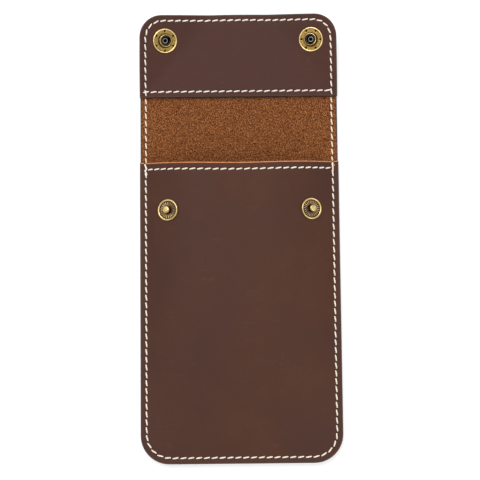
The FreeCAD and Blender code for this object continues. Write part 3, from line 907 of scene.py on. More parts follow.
@dataclass(frozen=True)
class Stitching:
    """Waxed thread laid stitch by stitch."""

    finishes: Finishes
    length: float = 2.8
    width: float = 0.62
    thickness: float = 0.56
    pitch: float = 3.08
    slant: float = math.radians(10)
    sink: float = 0.12
    under_sink: float = 0.33
    sides: int = 6
    cut_shares: tuple[float, ...] = (-0.37, -0.18, 0.18, 0.37)
    slimming: float = 0.5
    belly: float = 0.32
    dive: float = 0.85
    feel: float = 0.4
    hole_radius: float = 0.34
    hole_rise: float = 0.1

    def pattern(self) -> bpy.types.Mesh:
        """One stitch along X, its ends bent down into the leather, with a small cone of painted shade at
        each end for the holes.

        Returns:
            The mesh that every stitch copies.
        """
        mesh = bmesh.new()
        ply = mesh.verts.layers.float_vector.new(PLY)
        bmesh.ops.create_cone(
            mesh, cap_ends=True, segments=self.sides, radius1=0.5, radius2=0.5, depth=1.0,
            matrix=Matrix.Rotation(math.pi / 2, 4, "Y"),
        )
        for share in self.cut_shares:
            cut_mesh(mesh, (share, 0, 0), (1, 0, 0))
        for vert in mesh.verts:
            out = abs(vert.co.x) * 2
            slim = 1 - self.slimming * out**3
            lift = self.thickness * (self.belly - self.dive * out**4)
            vert[ply] = vert.co * self.length
            vert.co.x *= self.length
            vert.co.y *= self.width * slim
            vert.co.z = vert.co.z * self.thickness * slim + lift
        for side in Side:
            # small dark cone of painted shade, where the holes are
            hole_shade = bmesh.ops.create_cone(
                mesh, cap_ends=True, segments=self.sides, radius1=self.hole_radius, radius2=0.0,
                depth=self.hole_rise,
            )["verts"]
            for vert in hole_shade:
                vert.co += Vector((side.value * self.length * 0.5, 0, 0))
                vert[ply] = vert.co
            for face in {face for vert in hole_shade for face in vert.link_faces}:
                face.material_index = HOLE_SHADE_SLOT
        data = bpy.data.meshes.new("stitch_pattern")
        mesh.to_mesh(data)
        mesh.free()
        return data

    def marks(self, seam: Seam) -> list[tuple[Vector, Vector]]:
        """Mark out the stitches of a seam, equally far apart over the surface.

        Args:
            seam: the seam.

        Returns:
            Start and end of each stitch.
        """
        track = [Vector((x, y, seam.height(x, y))) for x, y in seam.points]
        lengths = [0.0]
        for before, after in zip(track, track[1:]):
            lengths.append(lengths[-1] + (after - before).length)
        count = max(round(lengths[-1] / self.pitch), 1)
        marks, index = [], 0
        for number in range(count + 1):
            want = lengths[-1] * number / count
            while index < len(track) - 2 and lengths[index + 1] < want:
                index += 1
            share = (want - lengths[index]) / (lengths[index + 1] - lengths[index])
            marks.append(track[index].lerp(track[index + 1], min(share, 1.0)))
        return list(zip(marks, marks[1:]))

    def lie(self, seam: Seam, start: Vector, end: Vector) -> Matrix:
        """Lay one stitch on the leather, slanted to its row.

        Args:
            seam: the seam that it belongs to.
            start: its first mark.
            end: its second mark.

        Returns:
            Its placement.
        """
        sign = seam.facing.value
        along = Vector((end.x - start.x, end.y - start.y, 0)).normalized()
        along = Matrix.Rotation(self.slant * sign, 3, "Z") @ along
        across = Vector((-along.y, along.x, 0)) * sign
        middle = (start + end) / 2

        def spot(offset: Vector) -> Vector:
            """Point on the leather beside the middle of the stitch."""
            x, y = middle.x + offset.x, middle.y + offset.y
            return Vector((x, y, seam.height(x, y)))

        reach = self.length * self.feel
        head, tail = spot(along * reach), spot(along * -reach)
        right, left = spot(across * -self.feel), spot(across * self.feel)
        forward = (head - tail).normalized()
        normal = forward.cross(left - right).normalized()
        turn = Matrix((forward, normal.cross(forward), normal)).transposed().to_4x4()
        base = (head + tail + spot(Vector())) / 3
        sink = self.sink if seam.facing is Facing.UP else self.under_sink
        return Matrix.Translation(base - normal * sink) @ turn

    def mesh_of(self, seams: Sequence[Seam]) -> BMesh:
        """Lay every stitch of some seams.

        Args:
            seams: the seams.

        Returns:
            All their stitches as one mesh.
        """
        pattern = self.pattern()
        mesh = bmesh.new()
        for seam in seams:
            for start, end in self.marks(seam):
                first = len(mesh.verts)
                mesh.from_mesh(pattern)
                mesh.verts.ensure_lookup_table()
                bmesh.ops.transform(mesh, matrix=self.lie(seam, start, end), verts=mesh.verts[first:])
        bpy.data.meshes.remove(pattern)
        return mesh

    def sew(self, name: str, seams: Sequence[Seam]) -> Object:
        """Piece of thread for some seams."""
        return new_object(name, self.mesh_of(seams), [self.finishes.thread, self.finishes.hole_shade])

    def sew_cut(self, name: str, seams: Sequence[Seam], low: float, high: float) -> Object:
        """Sew the part of some seams on bare hide that lies between two places along the pouch.

        Args:
            name: name of the piece.
            seams: the seams.
            low: where the part starts.
            high: where it ends.

        Returns:
            The piece, of rubbed thread.
        """
        mesh = self.mesh_of(seams)
        for place, outwards in ((low, -1), (high, 1)):
            cut = cut_mesh(mesh, (0, place, 0), (0, outwards, 0), clear=True)
            bmesh.ops.holes_fill(mesh, edges=[item for item in cut if isinstance(item, BMEdge)])
        return new_object(name, mesh, [self.finishes.rubbed_thread, self.finishes.hole_shade])


# leather


def close_steps(
    low: float, high: float, fine_low: float, fine_high: float, fine: float = 0.45, coarse: float = 1.5
) -> list[float]:
    """Stations between two places, fine near the ends and wider in the middle.

    Args:
        low: first station.
        high: last station.
        fine_low: length of the fine stretch at the low end.
        fine_high: length of the fine stretch at the high end.
        fine: step in the fine stretches.
        coarse: widest step.

    Returns:
        Rising stations.
    """
    stations = [low]
    while stations[-1] < high - TINY:
        here = stations[-1]
        near = min((here - low) / max(fine_low, TINY), (high - here) / max(fine_high, TINY))
        step = fine if near < 1 else min(coarse, fine + (near - 1) * coarse)
        stations.append(here + step)
    scale = (high - low) / (stations[-1] - low)
    return [low + (station - low) * scale for station in stations]


@dataclass(frozen=True)
class Leatherwork:
    """What every sub-assembly of leather is made with."""

    sizes: Measures
    surfaces: Surfaces
    finishes: Finishes
    stitching: Stitching
    rounding: float = 0.45
    fine_side: float = 6.0
    fine_mouth: float = 5.0
    bow_run: float = 20.0
    corner_rows: int = 14
    arc_steps: int = 3

    def plan_for(self, corner: float, end: float, half: Callable[[float], float]) -> Plan:
        """Plan of the flat sides of a sheet whose corners at one end are round.

        Args:
            corner: radius of the sheet's corners.
            end: place along the pouch of the flat sides' rounded end.
            half: half width of the sheet at each place along the pouch.

        Returns:
            Function from a station to its place in plan.
        """
        full, kept = self.sizes.half_width, self.sizes.half_width / 2
        corner -= self.rounding

        def half_of_row(y: float) -> float:
            """Half width of one row, drawn in round the corner."""
            left = max(corner - abs(end - y), 0.0)
            return half(y) - self.rounding - corner + math.sqrt(corner**2 - left**2)

        def plan(x: float, y: float) -> Vector:
            """Place of one station, drawn in beyond the kept middle."""
            drawn_in = max(abs(x) - kept, 0.0) * (full - half_of_row(y)) / (full - kept)
            return Vector((math.copysign(abs(x) - drawn_in, x), y, 0))

        return plan

    def bowed(self, plan: Plan, end: float, bow: Callable[[float], float]) -> Plan:
        """Bow the end of a sheet along the pouch.

        Args:
            plan: its plan with a straight end.
            end: place along the pouch of that end.
            bow: how far the end moves at each place across the pouch.

        Returns:
            The plan with the bow, eased in over the last stretch.
        """

        def bent(x: float, y: float) -> Vector:
            """Place of one station."""
            spot = plan(x, y)
            return spot + Vector((0, bow(spot.x) * share_of(y, end - self.bow_run, self.bow_run), 0))

        return bent

    def edge_distance(self, x: float, y: float, corner: float, end: float, half: float) -> float:
        """Distance from the sides and the rounded end of a sheet.

        Args:
            x: place across the pouch.
            y: place along the pouch.
            corner: radius of the sheet's corners.
            end: place along the pouch of its rounded end.
            half: its half width there.

        Returns:
            The distance, counted inwards.
        """
        side = half - abs(x)
        along = abs(end - y)
        if side < corner and along < corner:
            return corner - math.hypot(corner - side, corner - along)
        return min(side, along)

    def rounded_rows(self, end: float, other: float, corner: float, fine: float) -> list[float]:
        """Stations along a sheet, closer together round its rounded end.

        Args:
            end: place along the pouch of the rounded end.
            other: place along the pouch of the other end.
            corner: radius of the sheet's corners.
            fine: length of the fine stretch at the other end.

        Returns:
            Rising stations.
        """
        turn = math.copysign(1, other - end)
        corner -= self.rounding
        angles = [math.pi / 2 * row / self.corner_rows for row in range(self.corner_rows)]
        bend = [end + turn * corner * (1 - math.cos(angle)) for angle in angles]
        rest = close_steps(0, abs(other - end) - corner, 0, fine)
        return sorted(bend + [end + turn * (corner + station) for station in rest])

    def side_columns(self) -> list[float]:
        """Stations across the pouch."""
        half = self.sizes.half_width
        return close_steps(-half, half, self.fine_side, self.fine_side)

    def through(self, line: Line, top: Height) -> list[Seam]:
        """One row of stitches as it shows above and on the underside."""
        return [Seam(line, top), Seam(line, self.surfaces.curl, Facing.DOWN)]


@dataclass(frozen=True)
class Sheet:
    """One layer of leather: a slab over a grid of stations with rounded, burnished edges.

    The plan gives the flat sides alone. The rounded edges stand out round them, apart from the ends
    where the leather runs on into the next piece.
    """

    work: Leatherwork
    name: str
    rows: Sequence[float]
    plan: Plan
    top: Height
    bottom: Height
    upper: Material
    lower: Material
    joined_low: bool = False
    joined_high: bool = False
    raw_high: bool = False

    def build(self) -> Object:
        """Make the slab.

        Returns:
            Its object.
        """
        columns = self.work.side_columns()
        across, along = len(columns) - 1, len(self.rows) - 1
        mesh = bmesh.new()
        bmesh.ops.create_grid(mesh, x_segments=across, y_segments=along, size=0.5)
        level = mesh.verts.layers.float.new(LEVEL)
        mesh.verts.layers.float_vector.new(OUTWARD)
        mesh.verts.layers.float.new(RAW_CUT)
        place = mesh.verts.layers.float_vector.new(PLACE)
        row_of: dict[BMVert, int] = {}
        for vert in mesh.verts:
            row_of[vert] = round((vert.co.y + 0.5) * along)
            spot = self.plan(columns[round((vert.co.x + 0.5) * across)], self.rows[row_of[vert]])
            vert.co = Vector((spot.x, spot.y, self.top(spot.x, spot.y)))
        self.mark_rim(mesh, row_of)
        copied = bmesh.ops.extrude_face_region(mesh, geom=mesh.faces[:], use_keep_orig=True)["geom"]
        for vert in (item for item in copied if isinstance(item, BMVert)):
            vert.co.z = self.bottom(vert.co.x, vert.co.y)
            vert[level] = 1.0
        self.round_wall(mesh)
        bmesh.ops.recalc_face_normals(mesh, faces=mesh.faces)
        for vert in mesh.verts:
            vert[place] = vert.co.copy()
        painted, raw = self.work.finishes.painted, self.work.finishes.raw
        return new_object(
            self.name, mesh, [self.upper, self.lower, painted, raw if self.raw_high else painted]
        )

    def mark_rim(self, mesh: BMesh, row_of: dict[BMVert, int]) -> None:
        """Write on each rim point which way its edge looks and whether it is cut raw.

        Args:
            mesh: the flat grid.
            row_of: row of each of its points.
        """
        outward = mesh.verts.layers.float_vector[OUTWARD]
        raw_cut = mesh.verts.layers.float[RAW_CUT]
        last = len(self.rows) - 1
        joined = {row for row, runs_on in ((0, self.joined_low), (last, self.joined_high)) if runs_on}
        looks: dict[BMVert, list[Vector]] = {}
        for edge in (edge for edge in mesh.edges if edge.is_boundary):
            first, second = edge.verts
            rows = {row_of[first], row_of[second]}
            if len(rows) == 1 and rows <= joined:
                continue
            run = second.co - first.co
            look = Vector((run.y, -run.x, 0)).normalized()
            if look.dot((first.co + second.co) / 2 - edge.link_faces[0].calc_center_median()) < 0:
                look = -look
            for vert in edge.verts:
                looks.setdefault(vert, []).append(look)
                if rows == {last} and self.raw_high:
                    vert[raw_cut] = 1.0
        for vert, found in looks.items():
            if row_of[vert] in joined:
                vert[outward] = Vector((math.copysign(1, vert.co.x), 0, 0))
            else:
                vert[outward] = sum(found, Vector()) / (1 + found[0].dot(found[1]))

    def round_wall(self, mesh: BMesh) -> None:
        """Divide the wall between both sides and push it out to a rounded edge.

        Args:
            mesh: the slab.
        """
        level = mesh.verts.layers.float[LEVEL]
        outward = mesh.verts.layers.float_vector[OUTWARD]
        raw_cut = mesh.verts.layers.float[RAW_CUT]
        steps, rounding = self.work.arc_steps, self.work.rounding
        upright = [edge for edge in mesh.edges if edge.verts[0][level] != edge.verts[1][level]]
        bmesh.ops.subdivide_edges(mesh, edges=upright, cuts=2 * steps, use_grid_fill=True)
        bottom_step = 2 * steps + 1
        for face in mesh.faces:
            levels = {round(vert[level] * bottom_step) for vert in face.verts}
            if len(levels) == 1:
                face.material_index = Cover.LOWER if levels == {bottom_step} else Cover.UPPER
            else:
                raw = all(vert[raw_cut] > 0.5 for vert in face.verts)
                face.material_index = Cover.RAW if raw else Cover.PAINTED
        for vert in mesh.verts:
            step = round(vert[level] * bottom_step)
            if step in (0, bottom_step):
                continue
            x, y = vert.co.x, vert.co.y
            near_top = step <= steps
            turn = math.pi / 2 * (step if near_top else bottom_step - step) / steps
            drop = rounding * (1 - math.cos(turn))
            vert.co.z = self.top(x, y) - drop if near_top else self.bottom(x, y) + drop
            vert.co += vert[outward] * (rounding * math.sin(turn))


# the pouch


def mount(piece: Object, body: str, slot: str, *nodes: str) -> None:
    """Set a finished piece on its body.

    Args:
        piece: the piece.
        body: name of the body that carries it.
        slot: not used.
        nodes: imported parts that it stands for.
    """
    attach(piece, body)
    if nodes:
        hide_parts(*nodes)
    LOG.info("%s rides on %s, %d faces", piece.name, body, len(piece.data.polygons))


@dataclass(frozen=True)
class Pocket:
    """Back panel, domed front and their seams."""

    work: Leatherwork
    narrowing: float = 8.0
    tacks: tuple[tuple[float, float, float], ...] = ((0.35, -0.2, 2.6), (0.3, 2.2, 4.9))
    bead: float = 0.42
    bead_offset: float = 0.55
    bead_drop: float = 1.9
    bead_lump: float = 0.12
    bead_width: float = 0.8
    bead_height: float = 0.6
    ripple_across: float = 9.0
    ripple_along: float = 8.0

    def back_half(self, y: float) -> float:
        """Half width of the back panel, which narrows to the fold at the mouth.

        Args:
            y: place along the pouch.

        Returns:
            The half width there.
        """
        s = self.work.sizes
        share = share_of(y, s.mouth_y - self.narrowing, self.narrowing)
        return s.half_width + (s.fold_half - s.half_width) * share

    def side_dip(self, x: float, y: float) -> float:
        """How far the seam round the pocket pulls the leather in.

        Args:
            x: place across the pouch.
            y: place along the pouch.

        Returns:
            The dip there, below zero.
        """
        s = self.work.sizes
        inset = self.work.edge_distance(x, y, s.bottom_corner, s.foot_y, s.half_width)
        return seam_dip(inset - s.seam_inset)

    def back(self) -> Object:
        """Long hide up to the first bend, suede inside and waxed outside.

        Returns:
            The piece.
        """
        w, s = self.work, self.work.sizes
        foot = s.foot_y + w.rounding
        rows = w.rounded_rows(foot, s.bend_ends(0)[0], s.bottom_corner, 0)
        plan = w.plan_for(s.bottom_corner, foot, self.back_half)

        def below(x: float, y: float) -> float:
            """Underside, drawn up under the seam."""
            return -self.side_dip(x, y)

        return Sheet(
            w, "pocket_back", rows, plan, w.surfaces.hide_top, below, w.finishes.suede,
            w.finishes.outside, joined_high=True,
        ).build()

    def front(self) -> Object:
        """Domed front panel with its drawn-back mouth.

        Returns:
            The piece.
        """
        w, s = self.work, self.work.sizes
        foot = s.foot_y + w.rounding
        rows = w.rounded_rows(foot, s.mouth_y - w.rounding, s.bottom_corner, w.fine_mouth)
        rounded = w.plan_for(s.bottom_corner, foot, lambda y: s.half_width)
        plan = w.bowed(rounded, s.mouth_y, lambda x: s.mouth_line(x) - s.mouth_y)

        def top(x: float, y: float) -> float:
            """Outer side, drawn in along both seams."""
            mouth = s.mouth_line(x) - y - s.mouth_inset
            return w.surfaces.dome(x, y) + min(self.side_dip(x, y), seam_dip(mouth))

        def bottom(x: float, y: float) -> float:
            """Inner side."""
            return w.surfaces.dome(x, y) - s.front_hide

        return Sheet(
            w, "pocket_front", rows, plan, top, bottom, w.finishes.outside, w.finishes.suede,
            raw_high=True,
        ).build()

    def seams(self) -> list[Seam]:
        """Seam round the pocket, on the front and on the back, with its tacks at the mouth.

        Returns:
            The rows of stitches.
        """
        w, s = self.work, self.work.sizes
        high = s.mouth_y - s.mouth_end
        corner = s.bottom_corner - s.seam_inset
        rows = w.through(rounded_run(-s.seam_x, high, s.foot_y + s.seam_inset, corner), w.surfaces.dome)
        for side in Side:
            for shift, near, far in self.tacks:
                start = (side.value * (s.seam_x + shift), high - near)
                end = (side.value * (s.seam_x - shift), high - far)
                rows.append(Seam(dense([start, end]), w.surfaces.dome))
        return rows

    def mouth_seam(self) -> Seam:
        """Row below the mouth edge.

        Returns:
            The row of stitches.
        """
        s = self.work.sizes
        reach = s.seam_x - s.row_gap
        line = [(x, s.mouth_line(x) - s.mouth_inset) for x, _ in dense([(-reach, 0), (reach, 0)])]
        return Seam(line, self.work.surfaces.dome)

    def melted_end(self) -> Object:
        """Bead where the thread was cut and melted, beside the mouth's right corner.

        Returns:
            The piece.
        """
        w, s = self.work, self.work.sizes
        x, y = s.seam_x + self.bead_offset, s.mouth_y - self.bead_drop
        place = Vector((x, y, w.surfaces.dome(x, y)))
        flatten = Matrix.Diagonal((1, self.bead_width, self.bead_height))
        mesh = bmesh.new()
        ply = mesh.verts.layers.float_vector.new(PLY)
        bmesh.ops.create_icosphere(mesh, subdivisions=3, radius=self.bead)
        for vert in mesh.verts:
            vert[ply] = vert.co.copy()
            ripple = math.sin(vert.co.x * self.ripple_across + 1) * math.sin(vert.co.y * self.ripple_along)
            vert.co *= 1 + self.bead_lump * ripple
            vert.co = flatten @ vert.co + place
        return new_object("thread_end", mesh, [w.finishes.burnt_thread])

    def build(self) -> None:
        """Make the pocket and set it on its body."""
        sewing = self.work.stitching
        mount(self.back(), "pocket", "outer_hide", "back_panel")
        mount(self.front(), "pocket", "outer_hide", "front_panel")
        mount(sewing.sew("pocket_thread", self.seams()), "pocket", "thread", "pocket_seam_thread")
        mount(sewing.sew("mouth_thread", [self.mouth_seam()]), "pocket", "thread", "pocket_mouth_thread")
        mount(self.melted_end(), "pocket", "thread")


@dataclass(frozen=True)
class FoldZone:
    """Bare hide between pocket and flap, made as one bend over each fold line."""

    work: Leatherwork
    bend_rows: int = 12
    tuck: float = 2.0

    def seams(self) -> list[Seam]:
        """Side rows that run on over the fold, above and below.

        Returns:
            The rows of stitches.
        """
        w, s = self.work, self.work.sizes
        low, high = s.mouth_y - s.mouth_end, s.lining_y + s.hem_start
        lines = [dense([(side.value * s.seam_x, low), (side.value * s.seam_x, high)]) for side in Side]
        return [seam for line in lines for seam in w.through(line, w.surfaces.hide_top)]

    def bend(self, index: int) -> Object:
        """Hide over one fold line.

        Args:
            index: the fold line, counted from the pocket.

        Returns:
            The piece.
        """
        w, s = self.work, self.work.sizes
        low, high = s.bend_ends(index)
        rows = [low + (high - low) * row / self.bend_rows for row in range(self.bend_rows + 1)]

        def plan(x: float, y: float) -> Vector:
            """Place of one station on the narrower hide."""
            return Vector((x * (s.fold_half - w.rounding) / s.half_width, y, 0))

        def top(x: float, y: float) -> float:
            """Flesh side, drawn in along the seams."""
            return s.hide + seam_dip(s.seam_x - abs(x))

        def bottom(x: float, y: float) -> float:
            """Underside, drawn in along the seams."""
            return -seam_dip(s.seam_x - abs(x))

        return Sheet(
            w, f"fold_bend_{index + 1}", rows, plan, top, bottom, w.finishes.suede,
            w.finishes.outside, joined_low=True, joined_high=True,
        ).build()

    def build(self) -> None:
        """Make the bends and their stitches, each blended over its own fold line."""
        s, sewing = self.work.sizes, self.work.stitching
        bodies = ["pocket", *(f"fold_{number}" for number in range(1, LAST_FOLD + 1)), "flap"]
        for index, (before, after) in enumerate(zip(bodies, bodies[1:])):
            low, high = s.bend_ends(index)
            hide = self.bend(index)
            thread = sewing.sew_cut(f"fold_thread_{index + 1}", self.seams(), low, high)
            for piece, slot in ((hide, "outer_hide"), (thread, "thread")):
                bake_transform(piece, before, after, start=(0, low * MM, 0), end=(0, high * MM, 0))
                LOG.info("%s bends from %s to %s", piece.name, before, after)
            if index < LAST_FOLD:
                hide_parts(f"fold_strip_{index + 1}")
        for name, low, high, body in (
            ("fold_thread_0", s.mouth_y - self.tuck, s.bend_ends(0)[0], "pocket"),
            ("fold_thread_7", s.bend_ends(LAST_FOLD)[1], s.lining_y + self.tuck, "flap"),
        ):
            mount(sewing.sew_cut(name, self.seams(), low, high), body, "thread")


@dataclass(frozen=True)
class Flap:
    """Outer hide and lining of the flap with their seams."""

    work: Leatherwork
    drawn_in: float = 0.45
    widening: float = 6.0

    def half(self, y: float) -> float:
        """Half width of the flap, which its curl draws in towards the free edge."""
        s = self.work.sizes
        return s.half_width - self.drawn_in * share_of(y, s.lining_y, s.shoulder_y - s.lining_y) ** 2

    def outer_half(self, y: float) -> float:
        """Half width of the outer hide, which widens from the fold to the flap.

        Args:
            y: place along the pouch.

        Returns:
            The half width there.
        """
        s = self.work.sizes
        share = share_of(y, s.lining_y, self.widening)
        return self.half(y) - (s.half_width - s.fold_half) * (1 - share)

    def dip(self, x: float, y: float) -> float:
        """How far the seams pull the leather in.

        Args:
            x: place across the pouch.
            y: place along the pouch.

        Returns:
            The dip there, below zero.
        """
        w, s = self.work, self.work.sizes
        side = w.edge_distance(x, y - s.crown(x), s.flap_corner, s.shoulder_y, self.half(y))
        return min(seam_dip(side - s.seam_inset), seam_dip(y - s.lining_y - s.hem_inset))

    def layer(self, joined: bool) -> Object:
        """One curled layer of the flap.

        Args:
            joined: whether it is the outer hide, which runs on into the fold, or else the lining.

        Returns:
            The piece.
        """
        w, s, f = self.work, self.work.sizes, self.work.finishes
        low, high = (0.0, s.hide) if joined else (s.hide, s.hide + s.lining_hide)
        start = s.bend_ends(LAST_FOLD)[1] if joined else s.lining_y + w.rounding
        tip = s.shoulder_y - w.rounding
        rows = w.rounded_rows(tip, start, s.flap_corner, w.fine_mouth)
        rounded = w.plan_for(s.flap_corner, tip, self.outer_half if joined else self.half)
        plan = w.bowed(rounded, s.shoulder_y, s.crown)

        def top(x: float, y: float) -> float:
            """Inner side, which shows on the lining alone."""
            return high + w.surfaces.curl(x, y) + (0.0 if joined else self.dip(x, y))

        def bottom(x: float, y: float) -> float:
            """Outer side, which shows on the outer hide alone."""
            return low + w.surfaces.curl(x, y) - (self.dip(x, y) if joined else 0.0)

        name, upper, lower = (
            ("flap_outer", f.suede, f.outside) if joined else ("flap_inner", f.lining, f.suede)
        )
        return Sheet(w, name, rows, plan, top, bottom, upper, lower, joined_low=joined).build()

    def seams(self) -> tuple[list[Seam], list[Seam]]:
        """Seam round the flap and the hem across it, each above and below.

        Returns:
            The rows of the seam and the rows of the hem.
        """
        w, s = self.work, self.work.sizes
        low, high = s.lining_y + s.hem_start, s.shoulder_y - s.seam_inset
        round_run = [
            (x * self.half(y) / s.half_width, y + s.crown(x))
            for x, y in rounded_run(s.seam_x, low, high, s.flap_corner - s.seam_inset)
        ]
        hem = s.lining_y + s.hem_inset
        hem_run = dense([(s.edge_tack - s.half_width, hem), (s.seam_x, hem)])
        top = w.surfaces.lining_top
        return w.through(round_run, top), w.through(hem_run, top)

    def build(self) -> None:
        """Make the flap and set it on its body."""
        sewing = self.work.stitching
        mount(self.layer(joined=True), "flap", "outer_hide", "flap_panel")
        mount(self.layer(joined=False), "flap", "flap_lining", "flap_lining")
        round_seam, hem = self.seams()
        mount(sewing.sew("flap_thread", round_seam), "flap", "thread", "flap_seam_thread")
        mount(sewing.sew("hem_thread", hem), "flap", "thread", "flap_hem_thread")


# snaps


# each point of a half section: distance from the axis, height, share of patina
# the flat collar of the socket is divided finely for its dimples
SOCKET: Section = (
    (1.05, 0.0, 0.9), (4.88, 0.0, 0.7), (5.0, 0.14, 0.5), (5.0, 0.5, 0.3), (4.92, 0.68, 0.1),
    (4.76, 0.78, 0.0), (4.58, 0.79, 0.0), (4.44, 0.74, 0.05), (4.34, 0.66, 0.5), (4.24, 0.63, 0.45),
    (4.1, 0.62, 0.32), (3.95, 0.62, 0.3), (3.8, 0.62, 0.3), (3.65, 0.62, 0.3), (3.5, 0.62, 0.3),
    (3.35, 0.62, 0.32), (3.2, 0.62, 0.32), (3.0, 0.63, 0.45), (2.82, 0.66, 0.7), (2.68, 0.74, 0.7),
    (2.6, 0.95, 0.7), (2.56, 1.5, 0.6), (2.53, 1.95, 0.35), (2.47, 2.12, 0.05), (2.36, 2.2, 0.05),
    (2.2, 2.2, 0.45), (2.06, 2.12, 0.9), (1.98, 1.96, 1.0), (1.95, 1.7, 0.95), (1.95, 0.55, 1.0),
    (1.85, 0.42, 1.0), (1.05, 0.4, 1.0),
)
STUD: Section = (
    (0.85, 0.0, 0.8), (4.28, 0.0, 0.6), (4.4, 0.12, 0.4), (4.4, 0.55, 0.2), (4.3, 0.78, 0.3),
    (4.12, 0.92, 0.1), (3.95, 0.95, 0.0), (3.76, 0.9, 0.0), (3.6, 0.74, 0.2), (3.5, 0.58, 0.75),
    (3.4, 0.53, 0.8), (3.2, 0.52, 0.6), (2.9, 0.505, 0.5), (2.5, 0.48, 0.5), (2.1, 0.455, 0.55),
    (1.75, 0.43, 0.65), (1.5, 0.42, 0.8), (1.32, 0.45, 0.9), (1.22, 0.55, 0.9), (1.16, 0.9, 0.7),
    (1.18, 1.35, 0.7), (1.3, 1.65, 0.6), (1.44, 1.88, 0.5), (1.5, 2.05, 0.42), (1.48, 2.25, 0.34),
    (1.36, 2.46, 0.22), (1.12, 2.62, 0.12), (0.75, 2.69, 0.05), (0.35, 2.705, 0.0), (0.0, 2.71, 0.0),
    (0.0, 1.7, 1.0), (0.85, 1.63, 1.0),
)
CAP_DOME: Section = (
    (1.0, 0.0, 0.8), (4.9, 0.0, 0.6), (5.0, 0.12, 0.5), (5.0, 0.4, 0.3), (4.9, 0.6, 0.15),
    (4.6, 0.78, 0.1), (4.0, 1.0, 0.14), (3.2, 1.22, 0.18), (2.2, 1.39, 0.22), (1.2, 1.48, 0.25),
    (0.5, 1.5, 0.25), (0.0, 1.5, 0.25),
)
# the same for the rolled end of the cap's tube, heights counted from that end
CAP_BORE: Section = (
    (0.0, 0.42, 1.0), (0.7, 0.4, 1.0), (0.7, 0.15, 1.0), (0.74, 0.02, 0.7), (0.88, -0.04, 0.2),
    (1.1, 0.0, 0.4), (1.34, 0.2, 0.9), (1.4, 0.4, 1.0), (1.0, 0.4, 1.0),
)
POST: Section = (
    (0.5, -0.5, 0.4), (3.75, -0.5, 0.1), (3.9, -0.38, 0.1), (3.9, -0.08, 0.3), (3.82, 0.0, 0.5),
    (0.82, 0.0, 0.8), (0.82, 2.9, 0.8), (0.5, 2.9, 0.8),
)


def turned(section: Section, steps: int = 96, merge: float = 0.001) -> BMesh:
    """Metal piece turned from a half section.

    Args:
        section: points of the closed half section.
        steps: number of sides round the axis.
        merge: distance within which points become one.

    Returns:
        Its mesh, with the patina on its points.
    """
    mesh = bmesh.new()
    worn = mesh.verts.layers.float.new(PATINA)
    verts = []
    for radius, height, patina in section:
        verts.append(mesh.verts.new((radius, 0, height)))
        verts[-1][worn] = patina
    edges = [mesh.edges.new(pair) for pair in zip(verts, verts[1:] + verts[:1])]
    bmesh.ops.spin(
        mesh, geom=verts + edges, cent=(0, 0, 0), axis=(0, 0, 1), angle=math.tau, steps=steps,
        use_merge=True,
    )
    bmesh.ops.remove_doubles(mesh, verts=mesh.verts, dist=merge)
    stray = [edge for edge in mesh.edges if not edge.link_faces]
    bmesh.ops.delete(mesh, geom=stray, context="EDGES")
    bmesh.ops.recalc_face_normals(mesh, faces=mesh.faces)
    return mesh


